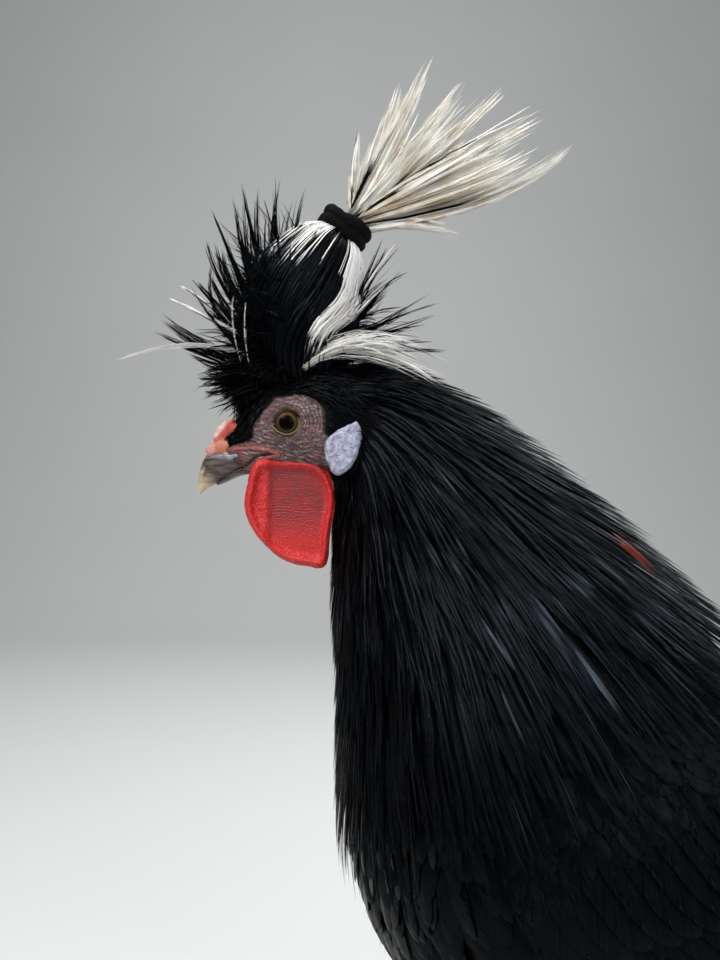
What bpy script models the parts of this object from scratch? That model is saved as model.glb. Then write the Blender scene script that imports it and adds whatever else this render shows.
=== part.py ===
"""A life-size, standing Polish cock with a tied-up crest, made as a still museum model.

Lengths are in metres. In the side profile, x runs back from the tip of the bill and z runs up from the floor.
The bird faces -X, and its left side is -Y. Angles round the body are in degrees from the back to the belly.
"""

import math
from typing import NamedTuple

import bmesh
import bpy
import numpy as np

JOINT_GAP = 0.0003
BODY_SIDES = 20
HEAD_SIDES = 18
ROUNDNESS = 0.92
SEED = 11

EYE_CENTRE = (0.0405, 0.435)
EYE_OFFSET = 0.0103
EYE_RADIUS = 0.008
LID_RING_RADIUS = 0.0064
LID_RING_THICKNESS = 0.0013
LID_OFFSET = 0.0161
MOUTH_SLIT = 0.0008
NOSTRIL_RADIUS = 0.0011

HIP = (0.162, 0.208)
HOCK = (0.196, 0.120)
ANKLE = (0.162, 0.020)
LEG_OFFSET = 0.046
SHANK_RADIUS = 0.0056
SHANK_SIDES = 7
SCUTE_COUNT = 9
SCUTE_STEP = 0.0006
SCUTE_OVERLAP = 0.012
TOE_RADIUS = 0.0050
TOE_SIDES = 5
CLAW_GAP = 0.0011
CLAW_LENGTH = 0.0115

TIE_CENTRE = (0.0640, 0.5200)
TIE_TILT = math.radians(57)
TIE_RADIUS = 0.0098
TIE_CORD_RADIUS = 0.0031
TIE_FACETS = (14, 6)

VANE_THICKNESS = 0.0014
VANE_RISE = 0.7
ROOT_DEPTH = 0.0040
SHINGLE_TILT = 8

HACKLE_RISE = 0.0095
THROAT_SHORTENING = 0.9
BEHIND_LOBE = 5.45
SADDLE_RISE = 0.0105

WING_TILT = 6

TAIL_ROOT = (0.320, 0.2600)
MAIN_TAIL_PAIRS = 5
MAIN_TAIL_LENGTH = 0.150
MAIN_TAIL_HALF_WIDTH = 0.0175
MAIN_TAIL_PITCH = 14
TAIL_SPACING = 0.0014
TAIL_THICKNESS = 0.0010
TAIL_SPLAY = 1.1
SICKLE_PAIRS = 3
SICKLE_BEND = (0.062, 0.235)
SICKLE_TIP = (0.137, 0.070)
SICKLE_SHARES = (1.0, 0.84, 0.70)
SICKLE_HALF_WIDTH = 0.0105

LEFT, RIGHT = -1, 1
SIDE_NAMES = {LEFT: "left", RIGHT: "right"}


class Rib(NamedTuple):
    """One cross-section of the body, by its lowest and highest point (x, z) and its half width."""

    ventral: tuple
    dorsal: tuple
    half_width: float


# From the root of the bill, over the head and down the neck and trunk to the root of the tail.
RIBS = (
    Rib((0.0250, 0.4090), (0.0090, 0.4280), 0.0075),
    Rib((0.0310, 0.4105), (0.0170, 0.4340), 0.0110),
    Rib((0.0390, 0.4120), (0.0260, 0.4490), 0.0148),
    Rib((0.0476, 0.4125), (0.0380, 0.4570), 0.0172),
    Rib((0.0560, 0.4110), (0.0530, 0.4610), 0.0186),
    Rib((0.0620, 0.4080), (0.0700, 0.4580), 0.0180),
    Rib((0.0640, 0.4000), (0.0910, 0.4530), 0.0185),
    Rib((0.0640, 0.3830), (0.1150, 0.4380), 0.0230),
    Rib((0.0640, 0.3550), (0.1460, 0.4110), 0.0340),
    Rib((0.0670, 0.3200), (0.1760, 0.3820), 0.0500),
    Rib((0.0670, 0.2850), (0.2030, 0.3540), 0.0640),
    Rib((0.0690, 0.2480), (0.2310, 0.3280), 0.0720),
    Rib((0.0820, 0.2150), (0.2560, 0.3050), 0.0745),
    Rib((0.1110, 0.1890), (0.2780, 0.2880), 0.0730),
    Rib((0.1460, 0.1730), (0.2930, 0.2780), 0.0670),
    Rib((0.1960, 0.1730), (0.3050, 0.2720), 0.0570),
    Rib((0.2410, 0.1900), (0.3140, 0.2680), 0.0430),
    Rib((0.2740, 0.2150), (0.3220, 0.2680), 0.0310),
    Rib((0.3000, 0.2340), (0.3330, 0.2710), 0.0220),
    Rib((0.3210, 0.2480), (0.3440, 0.2750), 0.0130),
)
NECK_START, TORSO_START, TAIL_START, TAIL_END = 4.5, 9.5, 17.0, 19.0
STATION_GAP = 0.02


class Finish(NamedTuple):
    """A plain colour, roughness and metallic value of one of the bird's surfaces."""

    colour: tuple
    roughness: float
    metallic: float = 0.0


FINISHES = {
    "black_plumage": Finish((0.012, 0.013, 0.017), 0.42),
    "white_plumage": Finish((0.80, 0.77, 0.68), 0.60),
    "face_skin": Finish((0.33, 0.17, 0.15), 0.55),
    "red_flesh": Finish((0.56, 0.035, 0.030), 0.45),
    "white_lobe": Finish((0.66, 0.67, 0.82), 0.60),
    "bill_horn": Finish((0.16, 0.12, 0.10), 0.35),
    "eye": Finish((0.20, 0.10, 0.02), 0.08),
    "slate_leg": Finish((0.09, 0.10, 0.12), 0.50),
    "claw_horn": Finish((0.10, 0.09, 0.08), 0.35),
    "black_elastic": Finish((0.010, 0.010, 0.012), 0.80),
}


def between(p0, p1, p2, p3, u):
    """A smooth curve from p1 to p2, read at the share u of the way."""
    return 0.5 * (
        2 * p1 + (p2 - p0) * u + (2 * p0 - 5 * p1 + 4 * p2 - p3) * u**2 + (3 * p1 - p0 - 3 * p2 + p3) * u**3
    )


def rib_at(station):
    """The ventral point, dorsal point and half width at a station, from a smooth curve through the ribs."""
    table = np.array([(*rib.ventral, *rib.dorsal, rib.half_width) for rib in RIBS])
    first = int(min(max(math.floor(station), 0), len(table) - 2))
    before, after = max(first - 1, 0), min(first + 2, len(table) - 1)
    smooth = between(table[before], table[first], table[first + 1], table[after], station - first)
    return smooth[0:2], smooth[2:4], smooth[4]


def rounded(value):
    """A sine or cosine made slightly fuller, so that a section is a little squarer than an ellipse."""
    return math.copysign(abs(value) ** ROUNDNESS, value)


def surface_point(station, angle):
    """The point of the body's surface at a station and an angle from the back towards the left side."""
    ventral, dorsal, half_width = rib_at(station)
    turn = math.radians(angle)
    profile = (ventral + dorsal) / 2 + (dorsal - ventral) / 2 * rounded(math.cos(turn))
    return np.array([profile[0], -half_width * rounded(math.sin(turn)), profile[1]])


def unit(vector):
    """The vector at length 1."""
    vector = np.asarray(vector, float)
    return vector / np.linalg.norm(vector)


def round_direction(station, angle):
    """The direction round the body, as the angle grows."""
    return unit(surface_point(station, angle + 2) - surface_point(station, angle - 2))


def surface_normal(station, angle):
    """The outward unit normal of the body's surface."""
    along = surface_point(station + 0.05, angle) - surface_point(station - 0.05, angle)
    return unit(np.cross(round_direction(station, angle), along))


def over(station, angle, lift):
    """A point this high over the body's surface."""
    return surface_point(station, angle) + surface_normal(station, angle) * lift


def body_ring(station, lift, sides):
    """A closed ring of points round the body."""
    return [over(station, 360 * k / sides, lift) for k in range(sides)]


def finish_shape(name, shape):
    """Puts a closed bmesh, turned to face outward, into a new object in the scene and returns it."""
    bmesh.ops.recalc_face_normals(shape, faces=shape.faces)
    if shape.calc_volume(signed=True) < 0:
        bmesh.ops.reverse_faces(shape, faces=shape.faces)
    mesh = bpy.data.meshes.new(name)
    shape.to_mesh(mesh)
    shape.free()
    made = bpy.data.objects.new(name, mesh)
    bpy.context.scene.collection.objects.link(made)
    return made


def loft(name, rings, last_tip=None):
    """A closed mesh through rings of equally many points, its far end capped or drawn out to a tip."""
    shape = bmesh.new()
    rows = [[shape.verts.new(point) for point in ring] for ring in rings]
    count = len(rows[0])
    for low, high in zip(rows, rows[1:]):
        for k in range(count):
            after = (k + 1) % count
            shape.faces.new((low[k], low[after], high[after], high[k]))
    shape.faces.new(rows[0])
    if last_tip is None:
        shape.faces.new(rows[-1])
    else:
        apex = shape.verts.new(last_tip)
        for k in range(count):
            shape.faces.new((rows[-1][k], rows[-1][(k + 1) % count], apex))
    return finish_shape(name, shape)


def blade(points, across, half_widths, thickness=VANE_THICKNESS):
    """A thin pointed vane along a curve, flat underneath and highest along its shaft."""
    shape = bmesh.new()
    rows = []
    for i, half_width in enumerate(half_widths):
        ahead = unit(points[i + 1] - points[max(i - 1, 0)])
        side = unit(across[i] - ahead * np.dot(across[i], ahead))
        upward = unit(np.cross(side, ahead)) * thickness
        ring = (points[i] - side * half_width, points[i] + upward, points[i] + side * half_width)
        rows.append([shape.verts.new(point) for point in ring])
    for low, high in zip(rows, rows[1:]):
        for edge in (0, 2):
            shape.faces.new((low[edge], low[1], high[1]))
            shape.faces.new((low[edge], high[1], high[edge]))
        shape.faces.new((low[0], low[2], high[2]))
        shape.faces.new((low[0], high[2], high[0]))
    shape.faces.new(rows[0])
    tip = shape.verts.new(points[-1])
    for k in range(3):
        shape.faces.new((rows[-1][k], rows[-1][(k + 1) % 3], tip))
    return finish_shape("vane", shape)


# The sections of a lance-shaped feather: share of its length, share of its half width.
LANCE = ((0.0, 0.30), (0.40, 1.00), (0.78, 0.80))


def lance_widths(half_width):
    """The half widths of a lance-shaped feather from its root to near its tip."""
    return [half_width * share for _, share in LANCE]


def lance_stations():
    """The shares of a feather's length at which it has a section, and its tip."""
    return [place for place, _ in LANCE] + [1.0]


def body_vane(start, end, half_width, lifts, side=LEFT, tilt=SHINGLE_TILT, under=None):
    """A vane that lies over the body from one (station, angle) to another, its lower edge tilted outward.

    Lifts are its heights at its root and its tip, over the surface or over the layer that under gives.
    """
    points, across = [], []
    lean = math.radians(tilt)
    for share in lance_stations():
        station = start[0] + (end[0] - start[0]) * share
        turn = start[1] + (end[1] - start[1]) * share
        lift = lifts[0] + (lifts[1] - lifts[0]) * share**VANE_RISE
        if under is not None:
            lift += under(station, turn)
        angle = -side * turn
        points.append(over(station, angle, lift))
        downward = round_direction(station, angle) * -side
        across.append(downward * math.cos(lean) + surface_normal(station, angle) * math.sin(lean))
    return blade(points, across, lance_widths(half_width))


def curve_points(start, control, end, shares):
    """Points along a curve that leaves start towards the control point and comes to the end."""
    return [start * (1 - u) ** 2 + control * 2 * u * (1 - u) + end * u * u for u in shares]


def curved_vane(start, control, end, across, half_width, thickness=VANE_THICKNESS):
    """A vane along a bowed line in space."""
    points = curve_points(np.array(start), np.array(control), np.array(end), lance_stations())
    return blade(points, [np.array(across, float)] * len(points), lance_widths(half_width), thickness)


def ball(name, centre, radii, segments=16, rings=10):
    """An ellipsoid."""
    shape = bmesh.new()
    bmesh.ops.create_uvsphere(shape, u_segments=segments, v_segments=rings, radius=1.0)
    bmesh.ops.scale(shape, vec=radii, verts=shape.verts)
    bmesh.ops.translate(shape, vec=centre, verts=shape.verts)
    return finish_shape(name, shape)


def ring_round(name, centre, axis, radius, thickness, segments=24, sides=8):
    """A torus round an axis."""
    axis = unit(axis)
    first = unit(np.cross([0.0, 1.0, 0.0] if abs(axis[1]) < 0.9 else [1.0, 0.0, 0.0], axis))
    second = np.cross(axis, first)
    shape = bmesh.new()
    rows = []
    for i in range(segments):
        turn = 2 * math.pi * i / segments
        outward = math.cos(turn) * first + math.sin(turn) * second
        row = []
        for k in range(sides):
            tilt = 2 * math.pi * k / sides
            offset = outward * (radius + thickness * math.cos(tilt)) + axis * thickness * math.sin(tilt)
            row.append(shape.verts.new(np.array(centre) + offset))
        rows.append(row)
    for i in range(segments):
        low, high = rows[i], rows[(i + 1) % segments]
        for k in range(sides):
            after = (k + 1) % sides
            shape.faces.new((low[k], low[after], high[after], high[k]))
    return finish_shape(name, shape)


def path_rings(centres, half_depths, half_widths, sides, floor=None):
    """Rings square to a path; half_depths lie in the path's upright plane, and half_widths across it."""
    centres = [np.array(c, float) for c in centres]
    rings = []
    for i, centre in enumerate(centres):
        ahead = unit(centres[min(i + 1, len(centres) - 1)] - centres[max(i - 1, 0)])
        across = unit(np.array([0.0, 1.0, 0.0]) - ahead * ahead[1])
        upward = np.cross(across, ahead)
        ring = []
        for k in range(sides):
            turn = 2 * math.pi * (k + 0.5) / sides
            point = centre + upward * half_depths[i] * math.cos(turn)
            point += across * half_widths[i] * math.sin(turn)
            if floor is not None:
                point[2] = max(point[2], floor)
            ring.append(point)
        rings.append(ring)
    return rings


def boolean(target, others, operation):
    """Joins other objects to the target, or cuts them from it, and removes them."""
    group = bpy.data.collections.new("joined to " + target.name)
    for other in others:
        group.objects.link(other)
    modifier = target.modifiers.new(operation.lower(), "BOOLEAN")
    modifier.operation = operation
    modifier.solver = "MANIFOLD"
    modifier.operand_type = "COLLECTION"
    modifier.collection = group
    graph = bpy.context.evaluated_depsgraph_get()
    result = bpy.data.meshes.new_from_object(target.evaluated_get(graph))
    target.modifiers.remove(modifier)
    target.data = result
    for other in others:
        bpy.data.objects.remove(other)
    bpy.data.collections.remove(group)
    keep_largest_body(target)
    return target


def join(target, others):
    """Fuses other closed shapes to the target."""
    return boolean(target, others, "UNION")


def cut(target, others):
    """Cuts other closed shapes from the target."""
    return boolean(target, others, "DIFFERENCE")


def cut_by(target, neighbours):
    """Cuts a part back to a narrow gap from its neighbours.

    The less grown copies clear the sharp corners in which a vertex has no single way outward.
    """
    growths = (JOINT_GAP, JOINT_GAP / 3, JOINT_GAP / 30)
    return cut(target, [grown_copy(neighbour, by) for neighbour in neighbours for by in growths])


def grown_copy(part, by):
    """A copy of a part with its surface moved outward, to cut the part's neighbour to a narrow gap."""
    copy = part.copy()
    copy.data = part.data.copy()
    bpy.context.scene.collection.objects.link(copy)
    for vertex in copy.data.vertices:
        vertex.co += vertex.normal * by
    return copy


def keep_largest_body(target):
    """Drops every closed surface but the largest, so that no scrap and no sealed hollow stays."""
    shape = bmesh.new()
    shape.from_mesh(target.data)
    unseen = set(shape.faces)
    bodies = []
    while unseen:
        found, edge_of_search = set(), [unseen.pop()]
        while edge_of_search:
            face = edge_of_search.pop()
            found.add(face)
            near = {other for edge in face.edges for other in edge.link_faces} & unseen
            unseen -= near
            edge_of_search.extend(near)
        bodies.append(found)
    if len(bodies) > 1:
        largest = max(bodies, key=box_diagonal)
        loose = [face for body in bodies if body is not largest for face in body]
        bmesh.ops.delete(shape, geom=loose, context="FACES")
    shape.to_mesh(target.data)
    shape.free()


def box_diagonal(faces):
    """The diagonal of the box round some faces."""
    places = np.array([vertex.co for face in faces for vertex in face.verts])
    return float(np.linalg.norm(places.max(axis=0) - places.min(axis=0)))


def smooth_outline(points, count):
    """A closed smooth curve through a few outline points."""
    known = np.array(points, float)
    total = len(known)
    out = []
    for k in range(count):
        place = total * k / count
        i = int(place)
        out.append(between(*(known[(i + j) % total] for j in (-1, 0, 1, 2)), place - i))
    return out


def make_head():
    """The head with its lids, eye sockets and the line of its mouth."""
    stations = np.linspace(0.0, NECK_START, 10)
    head = loft("head", [body_ring(s, 0, HEAD_SIDES) for s in stations])
    lids, cuts = [], []
    for side in (LEFT, RIGHT):
        lid_centre = (EYE_CENTRE[0], side * LID_OFFSET, EYE_CENTRE[1])
        lids.append(ring_round("lid", lid_centre, (0, 1, 0), LID_RING_RADIUS, LID_RING_THICKNESS, 12, 5))
        eye_centre = (EYE_CENTRE[0], side * EYE_OFFSET, EYE_CENTRE[1])
        socket = EYE_RADIUS + JOINT_GAP
        cuts.append(ball("socket", eye_centre, (socket, socket, socket), 12, 8))
        cuts.append(mouth_slit(side))
    join(head, lids)
    return cut(head, cuts)


MOUTH_CORNER = (
    (0.0190, 0.0078, 0.4128),
    (0.0265, 0.0098, 0.4160),
    (0.0330, 0.0124, 0.4186),
    (0.0370, 0.0146, 0.4202),
)


def mouth_slit(side):
    """A groove along the corner of the mouth, from the bill back over the cheek."""
    centres = [(x, side * y, z) for x, y, z in MOUTH_CORNER]
    return loft("slit", path_rings(centres, [MOUTH_SLIT] * 4, (0.0020, 0.0020, 0.0018, 0.0010), 6))


def make_eye(side):
    """One eyeball, standing a little out of its socket."""
    centre = (EYE_CENTRE[0], side * EYE_OFFSET, EYE_CENTRE[1])
    return ball("eye_" + SIDE_NAMES[side], centre, (EYE_RADIUS, EYE_RADIUS, EYE_RADIUS), 12, 7)


def bill_ring(ventral, dorsal, half_width, sides=10):
    """A section of the bill between a lower and an upper profile point."""
    low, high = np.array(ventral), np.array(dorsal)
    ring = []
    for k in range(sides):
        turn = 2 * math.pi * k / sides
        profile = (low + high) / 2 + (high - low) / 2 * math.cos(turn)
        ring.append((profile[0], -half_width * math.sin(turn), profile[1]))
    return ring


def make_upper_bill():
    """The hooked upper half of the bill."""
    rings = [
        bill_ring((0.0208, 0.4133), (0.0086, 0.4277), 0.0071),
        bill_ring((0.0145, 0.4112), (0.0040, 0.4218), 0.0060),
        bill_ring((0.0088, 0.4088), (0.0010, 0.4146), 0.0044),
        bill_ring((0.0046, 0.4066), (0.0002, 0.4096), 0.0025),
    ]
    return loft("bill_upper", rings, last_tip=(0.0009, 0.0, 0.4038))


def make_lower_bill():
    """The lower half of the bill, a little shorter than the upper."""
    rings = [
        bill_ring((0.0245, 0.4090), (0.0212, 0.4128), 0.0064),
        bill_ring((0.0170, 0.4065), (0.0149, 0.4107), 0.0052),
        bill_ring((0.0110, 0.4055), (0.0095, 0.4083), 0.0034),
    ]
    return loft("bill_lower", rings, last_tip=(0.0072, 0.0, 0.4062))


def make_comb():
    """The small V-shaped comb, and in front of it the raised bulbs that hold the nostrils."""
    comb = ball("comb", (0.0120, 0.0, 0.4270), (0.0070, 0.0068, 0.0045), 9, 5)
    pieces, pits = [], []
    for side in (LEFT, RIGHT):
        horn = ((0.0130, 0.0020, 0.4260), (0.0128, 0.0038, 0.4310), (0.0150, 0.0052, 0.4368))
        centres = [(x, side * y, z) for x, y, z in horn]
        rings = path_rings(centres, (0.0024, 0.0021, 0.0010), (0.0052, 0.0044, 0.0022), 6)
        pieces.append(loft("horn", rings))
        pieces.append(ball("bulb", (0.0066, side * 0.0030, 0.4240), (0.0032, 0.0034, 0.0030), 8, 5))
        pit = (0.0062, side * 0.0061, 0.4232)
        pits.append(ball("nostril", pit, (NOSTRIL_RADIUS * 1.5, NOSTRIL_RADIUS, NOSTRIL_RADIUS), 6, 4))
    join(comb, pieces)
    return cut(comb, pits)


WATTLE_OUTLINE = (
    (0.0270, 0.4180),
    (0.0225, 0.4060),
    (0.0225, 0.3960),
    (0.0280, 0.3855),
    (0.0380, 0.3765),
    (0.0480, 0.3735),
    (0.0560, 0.3740),
    (0.0582, 0.3870),
    (0.0604, 0.4010),
    (0.0585, 0.4110),
    (0.0530, 0.4170),
    (0.0400, 0.4190),
)
WATTLE_CENTRE = (0.0415, 0.3960)
# From the middle of the dish to its rolled rim, and back to the middle inside: share of the outline, y.
WATTLE_PROFILE = (
    (0.30, 0.0092),
    (0.68, 0.0094),
    (0.87, 0.0116),
    (0.96, 0.0117),
    (1.00, 0.0100),
    (0.97, 0.0082),
    (0.70, 0.0064),
    (0.30, 0.0062),
)
WATTLE_FOLD = 0.0008
WATTLE_FOLD_PITCH = 0.0085
WATTLE_RIDGE = 0.0016


def wattle_fold(x, z):
    """How far the folds raise the dish of a wattle: low waves across it and one upright ridge."""
    waves = WATTLE_FOLD * math.sin(2 * math.pi * (z - 0.1 * x) / WATTLE_FOLD_PITCH)
    return waves + WATTLE_RIDGE * math.exp(-(((x - 0.0310) / 0.0022) ** 2))


def make_wattle(side):
    """One long wattle: a shallow folded dish with a thick rolled rim, hanging from the side of the jaw."""
    forward = -0.0018 if side == RIGHT else 0.0
    outline = smooth_outline(WATTLE_OUTLINE, 16)
    rings = []
    for i, (share, depth) in enumerate(WATTLE_PROFILE):
        ring = []
        for x, z in outline:
            px = WATTLE_CENTRE[0] + (x - WATTLE_CENTRE[0]) * share
            pz = WATTLE_CENTRE[1] + (z - WATTLE_CENTRE[1]) * share
            fold = wattle_fold(px, pz) if i < 3 else 0.0
            ring.append((px + forward, side * (depth + fold), pz))
        rings.append(ring)
    return loft("wattle_" + SIDE_NAMES[side], rings)


LOBE_OUTLINE = (
    (0.0700, 0.4345),
    (0.0650, 0.4320),
    (0.0590, 0.4290),
    (0.0562, 0.4230),
    (0.0580, 0.4160),
    (0.0620, 0.4120),
    (0.0670, 0.4150),
    (0.0705, 0.4220),
    (0.0718, 0.4290),
)
LOBE_CENTRE = (0.0645, 0.4235)
LOBE_PROFILE = ((0.50, 0.0214), (0.88, 0.0208), (1.00, 0.0190), (0.97, 0.0150), (0.50, 0.0130))


def make_lobe(side):
    """One flat, leaf-shaped earlobe on the side of the head."""
    rings = []
    for share, depth in LOBE_PROFILE:
        ring = []
        for x, z in smooth_outline(LOBE_OUTLINE, 14):
            px = LOBE_CENTRE[0] + (x - LOBE_CENTRE[0]) * share
            pz = LOBE_CENTRE[1] + (z - LOBE_CENTRE[1]) * share
            ring.append((px, side * depth, pz))
        rings.append(ring)
    return loft("earlobe_" + SIDE_NAMES[side], rings)


def tie_axis():
    """The unit direction in which the tied crest passes through its tie."""
    return np.array([math.cos(TIE_TILT), 0.0, math.sin(TIE_TILT)])


def tie_point(distance):
    """A point on the axis of the tie, this far above its centre."""
    return np.array([TIE_CENTRE[0], 0.0, TIE_CENTRE[1]]) + tie_axis() * distance


# Along the crest from inside the skull to the tie: centre (x, z), half depth and half width.
BUNDLE = (
    (0.0480, 0.4420, 0.0185, 0.0125),
    (0.0450, 0.4590, 0.0225, 0.0180),
    (0.0440, 0.4770, 0.0240, 0.0195),
    (0.0485, 0.4955, 0.0210, 0.0180),
    (tie_point(-0.0115)[0], tie_point(-0.0115)[2], 0.0138, 0.0125),
    (tie_point(-0.0058)[0], tie_point(-0.0058)[2], 0.0095, 0.0092),
    (tie_point(-0.0010)[0], tie_point(-0.0010)[2], 0.0060, 0.0060),
)


def bundle_point(place, angle, lift):
    """A point over the tied crest: place runs from 0 at its root to 6 at the tie, angle from the front."""
    table = np.array(BUNDLE)
    steps = range(len(table))
    spot = [np.interp(place, steps, table[:, k]) for k in range(4)]
    later, earlier = ([np.interp(place + s, steps, table[:, k]) for k in (0, 1)] for s in (0.3, -0.3))
    ahead = unit([later[0] - earlier[0], 0.0, later[1] - earlier[1]])
    upward = np.cross(ahead, [0.0, 1.0, 0.0])
    turn = math.radians(angle)
    centre = np.array([spot[0], 0.0, spot[1]])
    depth, width = spot[2] + lift, spot[3] + lift
    return centre + upward * depth * math.cos(turn) - np.array([0.0, 1.0, 0.0]) * width * math.sin(turn)


CREST_LOCKS = 10
CREST_LOCK_STATIONS = ((0.7, -0.0030), (1.7, 0.0026), (3.0, 0.0032), (4.7, 0.0006))


def crest_lock(rng, number):
    """One flat lock that runs up the crest and under the tie."""
    angle = 360 * (number + 0.5) / CREST_LOCKS
    raised = 0.0012 if number % 2 else 0.0
    drift = rng.uniform(-8, 8)
    points, across, widths = [], [], []
    for i, (place, lift) in enumerate(CREST_LOCK_STATIONS):
        here = angle + drift * i / 4
        points.append(bundle_point(place + (0.35 if number % 2 and i == 0 else 0.0), here, lift + raised))
        across.append(bundle_point(place, here + 5, lift) - bundle_point(place, here - 5, lift))
        radius = np.interp(place, range(len(BUNDLE)), np.array(BUNDLE)[:, 3])
        widths.append(radius * 2 * math.pi / CREST_LOCKS * (0.45 if i == 0 else 0.70))
    return blade(points, across, widths[:-1], VANE_THICKNESS)


class Spray(NamedTuple):
    """Locks that spread from one place in the crest, in a fan of a few slanting rows.

    Reach holds pairs: degrees above the horizontal, and how far the locks that point there go.
    """

    origin: tuple
    toward: int
    reach: tuple
    yaws: tuple
    count: int
    half_width: float


FRONT_REACH = ((-20, 0.040), (22, 0.052), (52, 0.062), (74, 0.082), (86, 0.090))
REAR_REACH = ((-16, 0.050), (22, 0.058), (42, 0.046), (60, 0.060))
SPRAYS = (
    Spray((0.040, 0.459), -1, FRONT_REACH, (-34, 4, 38), 5, 0.0044),
    Spray((0.054, 0.463), 1, REAR_REACH, (-26, 24), 3, 0.0042),
)
FILAMENT = ((0.030, -0.008, 0.462), (0.005, -0.008, 0.474), (-0.0350, -0.004, 0.4616), 0.0012)
FRINGE_YAWS = (-70, -42, -14, 14, 42, 70)


def heading_vector(toward, elevation, yaw):
    """The direction this far above the horizontal and turned this far to the right, forward or back."""
    up, turn = math.radians(elevation), math.radians(yaw)
    return np.array([toward * math.cos(up) * math.cos(turn), math.cos(up) * math.sin(turn), math.sin(up)])


def spray_locks(spray, rng):
    """The locks of one fan, each bowed upward on its way."""
    made = []
    angles, reaches = zip(*spray.reach)
    for yaw in spray.yaws:
        for k in range(spray.count):
            climb = angles[0] + (angles[-1] - angles[0]) * (k + 0.5 + rng.uniform(-0.3, 0.3)) / spray.count
            reach = float(np.interp(climb, angles, reaches)) * rng.uniform(0.90, 1.0)
            ahead = heading_vector(spray.toward, climb, yaw + rng.uniform(-8, 8))
            origin = np.array([spray.origin[0], 0.0, spray.origin[1]])
            start = origin + np.array([0.0, 0.010 * math.sin(math.radians(yaw)), 0.010 * climb / 90])
            bow = heading_vector(spray.toward, climb + 22, yaw)
            lean = rng.uniform(-0.7, 0.7)
            across = np.cross(ahead, [0.0, 1.0, 0.0]) + np.array([0.0, lean, 0.0])
            bend, tip = start + bow * reach * 0.5, origin + ahead * reach
            made.append(curved_vane(start, bend, tip, across, spray.half_width))
    return made


def fringe_locks():
    """Short locks that hang from the crest round the forehead, down to the comb and the brow."""
    made = []
    for yaw in FRINGE_YAWS:
        turn = math.radians(yaw)
        outward = np.array([-math.cos(turn), math.sin(turn), 0.0])
        across = np.array([math.sin(turn), math.cos(turn), 0.0])
        start = np.array([0.038, 0.0, 0.457]) + outward * np.array([0.008, 0.008, 0.0])
        fall = 0.0235 - 0.010 * abs(math.sin(turn))
        end = np.array([0.0375, 0.0, 0.4570 - fall]) + outward * np.array([0.0190, 0.0172, 0.0])
        control = start + outward * np.array([0.0145, 0.0120, 0.0]) + np.array([0.0, 0.0, 0.001])
        made.append(curved_vane(start, control, end, across, 0.0046))
    return made


def ear_tufts():
    """Short locks that hang from the crest over the ears."""
    made = []
    for side in (LEFT, RIGHT):
        for k in range(2):
            start = (0.0560 + 0.005 * k, side * 0.0120, 0.4590)
            middle = (0.0570 + 0.006 * k, side * 0.0250, 0.4540)
            end = (0.0565 + 0.006 * k, side * 0.0222, 0.4365 - 0.001 * k)
            made.append(curved_vane(start, middle, end, (1, 0, 0.1), 0.0042))
    return made


def make_crest():
    """The crest from the knob on the skull up to the tie."""
    centres = [(row[0], 0.0, row[1]) for row in BUNDLE]
    core = loft("crest", path_rings(centres, [row[2] for row in BUNDLE], [row[3] for row in BUNDLE], 12))
    rng = np.random.default_rng(SEED)
    pieces = [crest_lock(rng, k) for k in range(CREST_LOCKS)]
    for spray in SPRAYS:
        pieces += spray_locks(spray, rng)
    *filament, half_width = FILAMENT
    pieces.append(curved_vane(*filament, (0, 0.3, 1), half_width, 0.0011))
    return join(core, pieces + fringe_locks() + ear_tufts())


def make_tie():
    """The elastic tie, wound round the crest as two thick turns."""
    step = TIE_CORD_RADIUS * 0.6
    size = (TIE_RADIUS, TIE_CORD_RADIUS, *TIE_FACETS)
    turns = [ring_round("crest_tie", tie_point(place), tie_axis(), *size) for place in (-step, step)]
    return join(turns[0], turns[1:])


# How far the plume reaches from the tie, by the way it points in degrees above the horizontal at the back.
PLUME_REACH = (
    (-6, 0.050),
    (8, 0.085),
    (21, 0.110),
    (30, 0.100),
    (41, 0.096),
    (52, 0.087),
    (63, 0.084),
    (84, 0.043),
)
PLUME_ROWS = ((-0.019, 0.95, 6), (0.0, 1.0, 8), (0.019, 0.92, 6))


def make_plume():
    """The loose white tuft above the tie, a fan of long pointed feathers."""
    rng = np.random.default_rng(SEED + 1)
    inner = TIE_RADIUS - TIE_CORD_RADIUS - JOINT_GAP
    distances = (-0.0004, 0.0055, 0.012, 0.022)
    radii = (inner, inner, 0.0078, 0.0060)
    core = loft("crest_plume", path_rings([tie_point(d) for d in distances], radii, radii, 12))
    angles, reaches = zip(*PLUME_REACH)
    vanes = []
    for spread, share, count in PLUME_ROWS:
        for k in range(count):
            heading = angles[0] + (angles[-1] - angles[0]) * (k + 0.5 + rng.uniform(-0.3, 0.3)) / count
            reach = float(np.interp(heading, angles, reaches)) * share * rng.uniform(0.93, 1.0)
            turn = math.radians(heading)
            tip = tie_point(0) + reach * np.array([math.cos(turn), 0.0, math.sin(turn)])
            tip[1] = spread * reach / 0.09 + rng.uniform(-0.002, 0.002)
            start = tie_point(0.0075) + np.array([0.0, spread * 0.12, 0.0])
            control = start + tie_axis() * reach * 0.42 + np.array([0.0, spread * 0.35, 0.0])
            lean = rng.uniform(-0.5, 0.5)
            across = np.array([-math.sin(turn), lean, math.cos(turn)])
            vanes.append(curved_vane(start, control, tip, across, rng.uniform(0.0052, 0.0070)))
    return join(core, vanes)


class Tier(NamedTuple):
    """One row of long feathers round the body: stations of its roots and tips, count and half width."""

    start: float
    end: float
    count: int
    half_width: float


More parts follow.
